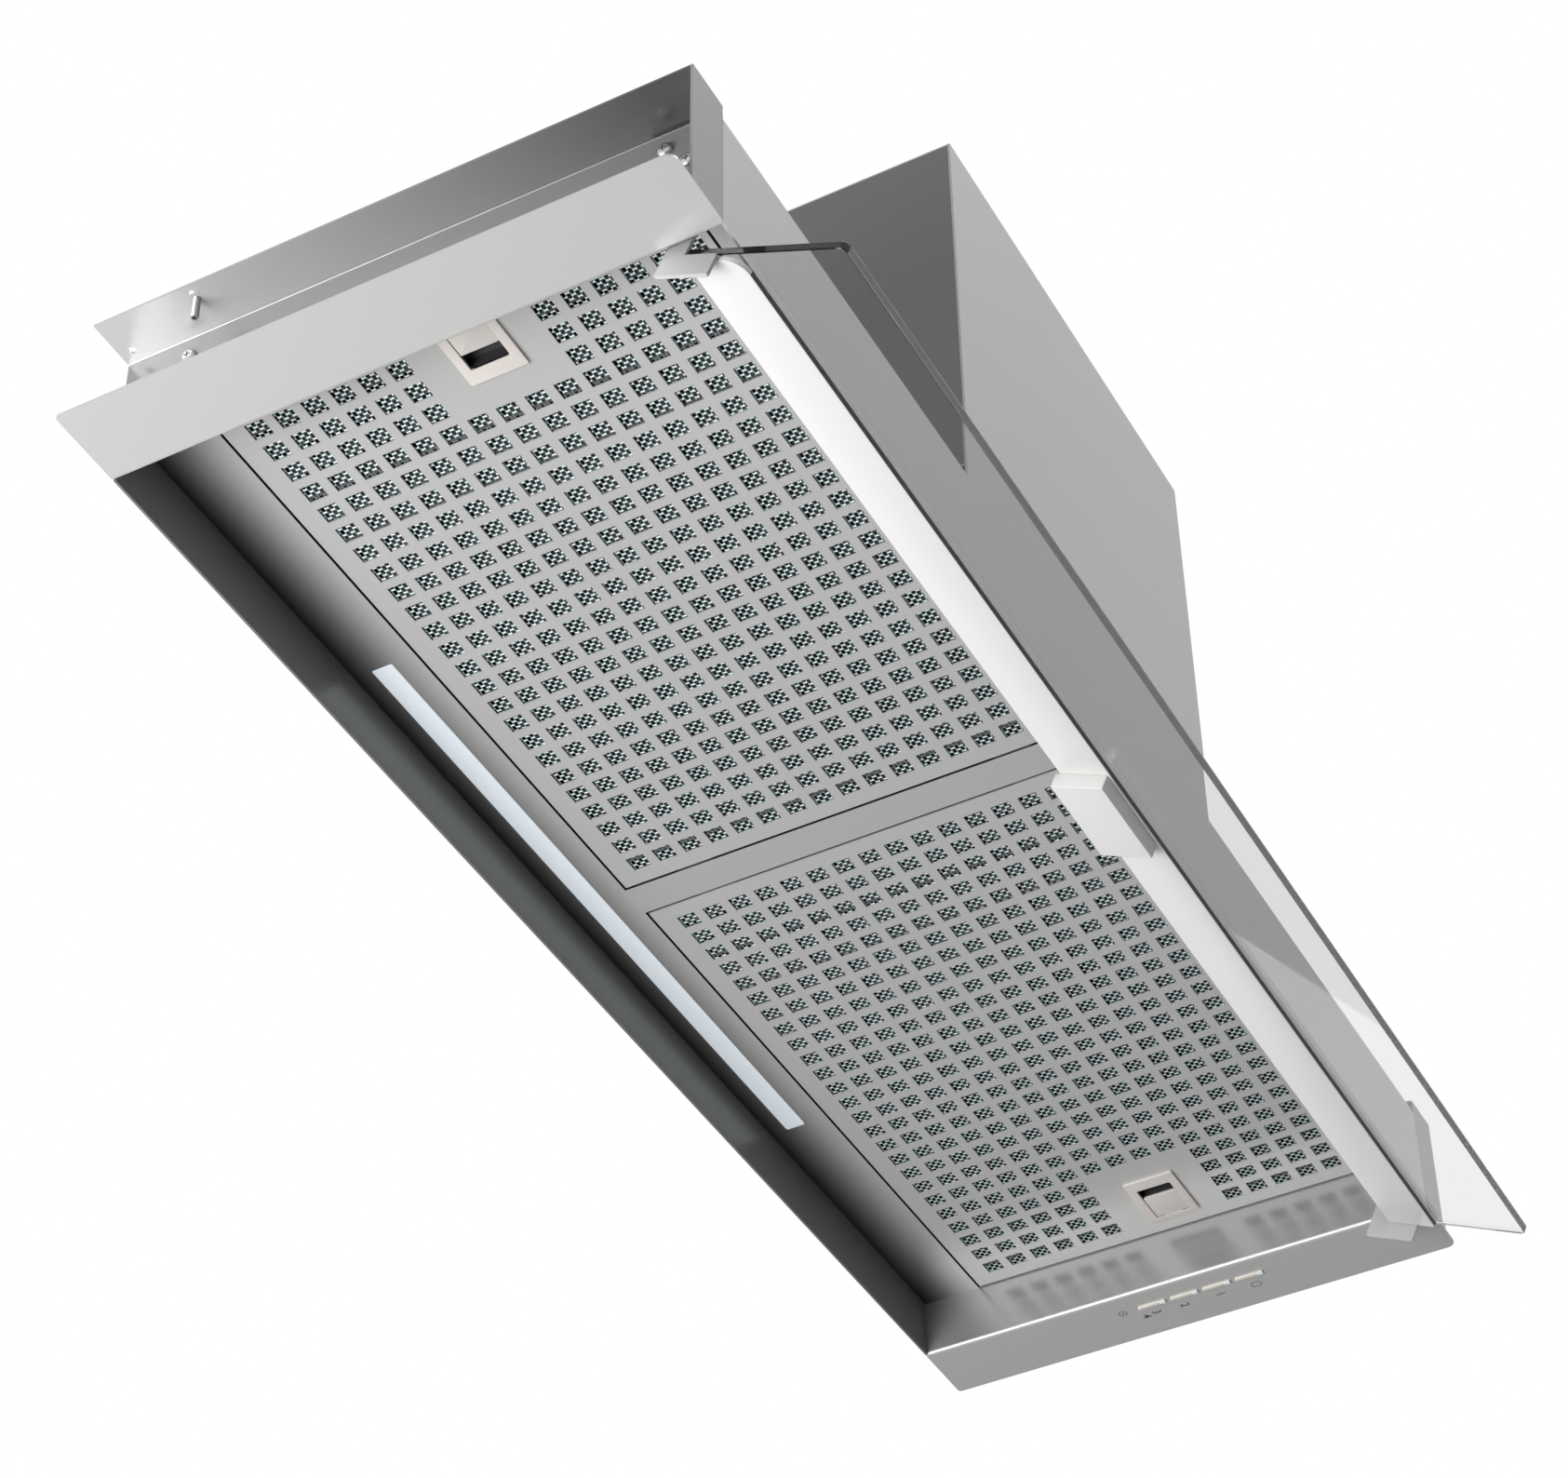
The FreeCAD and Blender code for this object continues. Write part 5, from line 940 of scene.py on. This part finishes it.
class HOOD_OT_fasteners(bpy.types.Operator):
    """Make the wall bolts and the threaded levelling screws."""

    bl_idname = "hood.fasteners"
    bl_label = "Fasteners"

    def execute(self, context):
        layout = stamp_layout()
        head = self.pan_head(4.0 * MM, 2.6 * MM)
        for label, side in SIDES:
            points = [(side * (BOLT_SEAT + lift), y, z) for y, z, lift in WALL_BOLTS]
            values = {"Stamp": head, "Turn": Vector((0, side * math.pi / 2, 0))}
            heads = layout.make("wall_bolt_heads_" + label, point_mesh(points), "zinc", values)
            declare(heads, "casing", "fasteners")
        self.shanks()
        bpy.data.objects.remove(head)
        for label, side in SIDES:
            self.levelling(label, side, context.scene.hood_sizes.thread_pitch)
        return {"FINISHED"}

    def pan_head(self, radius, height):
        """A pan head with a cross recess, standing on its seat."""
        profile = [(0.0, 0.0), (radius, 0.0), (radius, height * 0.35), (radius * 0.94, height * 0.62),
                   (radius * 0.8, height * 0.85), (radius * 0.6, height * 0.97), (radius * 0.30, height),
                   (0.0, height)]
        long = 0.45 * radius
        thin = 0.10 * radius
        cross = bmesh.new()
        for turn in (0, 90):
            blade = block(-long, long, -thin, thin, height * 0.45, height * 1.5)
            merge(cross, blade, Matrix.Rotation(math.radians(turn), 4, "Z"))
        return new_object("pan_head", carve("pan_head", lathe(profile, 24), cross, True), "zinc", 35)

    def shanks(self):
        """Ends of the wall bolts inside the tray."""
        profile = [(0.0, 0.0), (1.5 * MM, 0.0), (2.0 * MM, 0.5 * MM), (2.0 * MM, 6.0 * MM), (0.0, 6.0 * MM)]
        work = bmesh.new()
        for _, side in SIDES:
            for y, z, lift in WALL_BOLTS:
                place = Matrix.Translation((side * (SHANK_END + lift), y, z))
                merge(work, lathe(profile, 16), place @ Matrix.Rotation(side * math.pi / 2, 4, "Y"))
        thing = new_object("wall_bolt_shanks", to_mesh(work, "wall_bolt_shanks"), "zinc", 35)
        declare(thing, "casing", "fasteners", "wall_bolts")

    def levelling(self, label, side, pitch):
        """A grub screw with a true thread, and a hexagon socket in its lower end."""
        steps = 18
        low, high = -0.0138, 0.0030
        core, crest, runout = 1.60 * MM, 0.40 * MM, 0.8 * MM
        key, depth = 1.0 * MM, 3 * MM
        rings = int((high - low) / pitch * 4)
        work = bmesh.new()
        columns = []
        for i in range(rings + 1):
            z = low + (high - low) * i / rings
            ring = []
            for j in range(steps):
                turn = j / steps
                phase = ((z - low) / pitch - turn) % 1.0
                ridge = abs(phase - 0.5) * 2
                taper = min(1.0, (z - low) / runout + 0.3, (high - z) / runout + 0.3)
                radius = core + crest * ridge * taper
                angle = 2 * math.pi * turn
                ring.append(work.verts.new((radius * math.cos(angle), radius * math.sin(angle), z)))
            columns.append(ring)
        for lower, upper in zip(columns, columns[1:]):
            for j in range(steps):
                k = (j + 1) % steps
                work.faces.new((lower[j], lower[k], upper[k], upper[j]))
        work.faces.new(columns[-1])
        corners = [math.radians(60 * (j // 3)) for j in range(steps)]
        socket = [work.verts.new((key * math.cos(turn), key * math.sin(turn), low)) for turn in corners]
        floor = [work.verts.new(vert.co + Vector((0, 0, depth))) for vert in socket]
        for j in range(steps):
            k = (j + 1) % steps
            work.faces.new((socket[j], socket[k], columns[0][k], columns[0][j]))
            work.faces.new((floor[j], floor[k], socket[k], socket[j]))
        work.faces.new(list(reversed(floor)))
        bmesh.ops.remove_doubles(work, verts=work.verts, dist=1e-7)
        bmesh.ops.recalc_face_normals(work, faces=work.faces)
        name = "levelling_screw_" + label
        place = Matrix.Translation((side * LEVELLING.x, LEVELLING.y, LEVELLING.z))
        thing = new_object(name, to_mesh(work, name, place), "zinc", 30)
        nodes = () if side < 0 else ("levelling_screws",)
        declare(thing, "casing", "fasteners", *nodes)


class HOOD_OT_duct(bpy.types.Operator):
    """Make the duct collar with its seat, and the cable gland."""

    bl_idname = "hood.duct"
    bl_label = "Duct Collar"

    def execute(self, context):
        profile = [(0.0730, 0.0), (0.0840, 0.0), (0.0845, 0.0005), (0.0845, 0.0012), (0.0840, 0.0015),
                   (0.0750, 0.0015), (0.0745, 0.0020), (0.0745, 0.0455), (0.0742, 0.0460), (0.0734, 0.0460),
                   (0.0730, 0.0455), (0.0730, 0.0065), (0.0692, 0.0065), (0.0690, 0.0063), (0.0690, 0.0052),
                   (0.0692, 0.0050), (0.0730, 0.0050)]
        work = lathe(profile, 96)
        mesh = to_mesh(work, "duct_collar", Matrix.Translation(COLLAR))
        collar = new_object("duct_collar", mesh, "grey sheet", 35)
        declare(collar, "casing", "grey_sheet", "duct_spigot")
        self.gland()
        return {"FINISHED"}

    def gland(self):
        """Hexagonal cable gland on the terminal box."""
        turn = Matrix.Translation(GLAND) @ Matrix.Rotation(-math.pi / 2, 4, "X")
        nut = lathe([(4.0 * MM, 0), (8.9 * MM, 0), (9.0 * MM, 0.3 * MM), (9.0 * MM, 2.6 * MM),
                     (8.6 * MM, 3.0 * MM), (4.0 * MM, 3.0 * MM)], 6)
        cap = lathe([(4.0 * MM, 3.0 * MM), (7.5 * MM, 3.0 * MM), (7.5 * MM, 12.0 * MM), (6.6 * MM, 15.2 * MM),
                     (5.6 * MM, 16.0 * MM), (4.0 * MM, 16.0 * MM)], 32)
        merge(nut, cap)
        thing = new_object("cable_entry", to_mesh(nut, "cable_entry", turn), "black plastic", 30)
        declare(thing, "casing", "dark_plastic", "cable_gland")


class HOOD_OT_stage(bpy.types.Operator):
    """Set up the floor, world, lamps and camera."""

    bl_idname = "hood.stage"
    bl_label = "Stage"

    def execute(self, context):
        scene = context.scene
        scene.view_settings.view_transform = "Standard"
        self.floor()
        self.world(scene)
        self.lamp("lower key", (-1.0, 0.5, -0.95), 1.1, 32.0)
        self.lamp("upper front", (-0.15, -1.2, 2.4), 1.6, 55.0)
        self.lamp("rear fill", (1.7, 1.7, 0.5), 1.6, 25.0)
        self.camera(scene)
        return {"FINISHED"}

    def floor(self):
        """A wide pale floor well below the hung hood."""
        mesh = bpy.data.meshes.new("floor")
        half, level = 9, -2.4
        corners = [(x * half, y * half, level) for x, y in ((-1, -1), (1, -1), (1, 1), (-1, 1))]
        mesh.from_pydata(corners, [], [(0, 1, 2, 3)])
        finish = Finish("floor")
        tone = finish.mix(finish.noise(0.7, 2.0), rgba((0.86,) * 3), rgba((0.88,) * 3))
        mesh.materials.append(finish.surface(Base_Color=tone, Roughness=0.7))
        link("floor", mesh)

    def world(self, scene):
        """Even light, and white where the background shows, also in metal and through glass."""
        world = bpy.data.worlds.new("studio")
        world.use_nodes = True
        graph = Graph(world.node_tree)
        graph.tree.nodes.clear()
        ray = graph.node("ShaderNodeLightPath")
        seen = ray["Is Camera Ray"]
        for kind in ("Is Glossy Ray", "Is Transmission Ray"):
            seen = seen.do("MAXIMUM", ray[kind])
        strength = seen * 0.88 + 0.12
        back = graph.node("ShaderNodeBackground", {}, {"Color": (1, 1, 1, 1), "Strength": strength})
        graph.node("ShaderNodeOutputWorld", {}, {"Surface": back[0]})
        scene.world = world

    def lamp(self, name, place, size, power):
        """A soft square lamp aimed at the hood's middle."""
        data = bpy.data.lights.new(name, "AREA")
        data.shape = "SQUARE"
        data.size = size
        data.energy = power
        lamp = link(name, data)
        lamp.location = place
        aim = Vector((0, -0.15, 0)) - Vector(place)
        lamp.rotation_euler = aim.to_track_quat("-Z", "Y").to_euler()
        lamp.visible_camera = False

    def camera(self, scene):
        """The photograph's view: from the left, in front and below."""
        data = bpy.data.cameras.new("view")
        data.sensor_fit = "HORIZONTAL"
        data.sensor_width = 36.0
        data.lens = 90.21
        data.clip_start = 0.05
        data.clip_end = 50
        camera = link("view", data)
        place = (-1.3552, -0.8256, -1.33805)
        right = (0.47156518, -0.88176656, -0.01067778)
        down = (0.5852655, 0.32200905, -0.74416024)
        ahead = (0.65961396, 0.34467072, 0.6679158)
        turn = Matrix((right, tuple(-v for v in down), tuple(-v for v in ahead))).transposed()
        camera.matrix_world = Matrix.Translation(place) @ turn.to_4x4()
        scene.camera = camera


STEPS = (HOOD_OT_finishes, HOOD_OT_stage, HOOD_OT_visor, HOOD_OT_filter_mesh, HOOD_OT_latches, HOOD_OT_lamp,
         HOOD_OT_buttons, HOOD_OT_marks, HOOD_OT_fasteners, HOOD_OT_duct)


class HOOD_PT_panel(bpy.types.Panel):
    """Buttons for every step."""

    bl_idname = "HOOD_PT_panel"
    bl_label = "Built-in Hood"
    bl_space_type = "VIEW_3D"
    bl_region_type = "UI"
    bl_category = "Hood"

    def draw(self, context):
        layout = self.layout
        for name in HoodLooks.__annotations__:
            layout.prop(context.scene.hood_looks, name)
        for name in HoodSizes.__annotations__:
            layout.prop(context.scene.hood_sizes, name)
        for step in STEPS:
            layout.operator(step.bl_idname)


CLASSES = (HoodLooks, HoodSizes) + STEPS + (HOOD_PT_panel,)


def register():
    """Add the classes and the scene's settings."""
    for item in CLASSES:
        bpy.utils.register_class(item)
    bpy.types.Scene.hood_looks = PointerProperty(type=HoodLooks)
    bpy.types.Scene.hood_sizes = PointerProperty(type=HoodSizes)


def unregister():
    """Remove them again."""
    del bpy.types.Scene.hood_sizes
    del bpy.types.Scene.hood_looks
    for item in reversed(CLASSES):
        bpy.utils.unregister_class(item)


def main():
    """Run every step in order."""
    register()
    for step in STEPS:
        group, name = step.bl_idname.split(".")
        getattr(getattr(bpy.ops, group), name)()


if __name__ == "__main__":
    main()
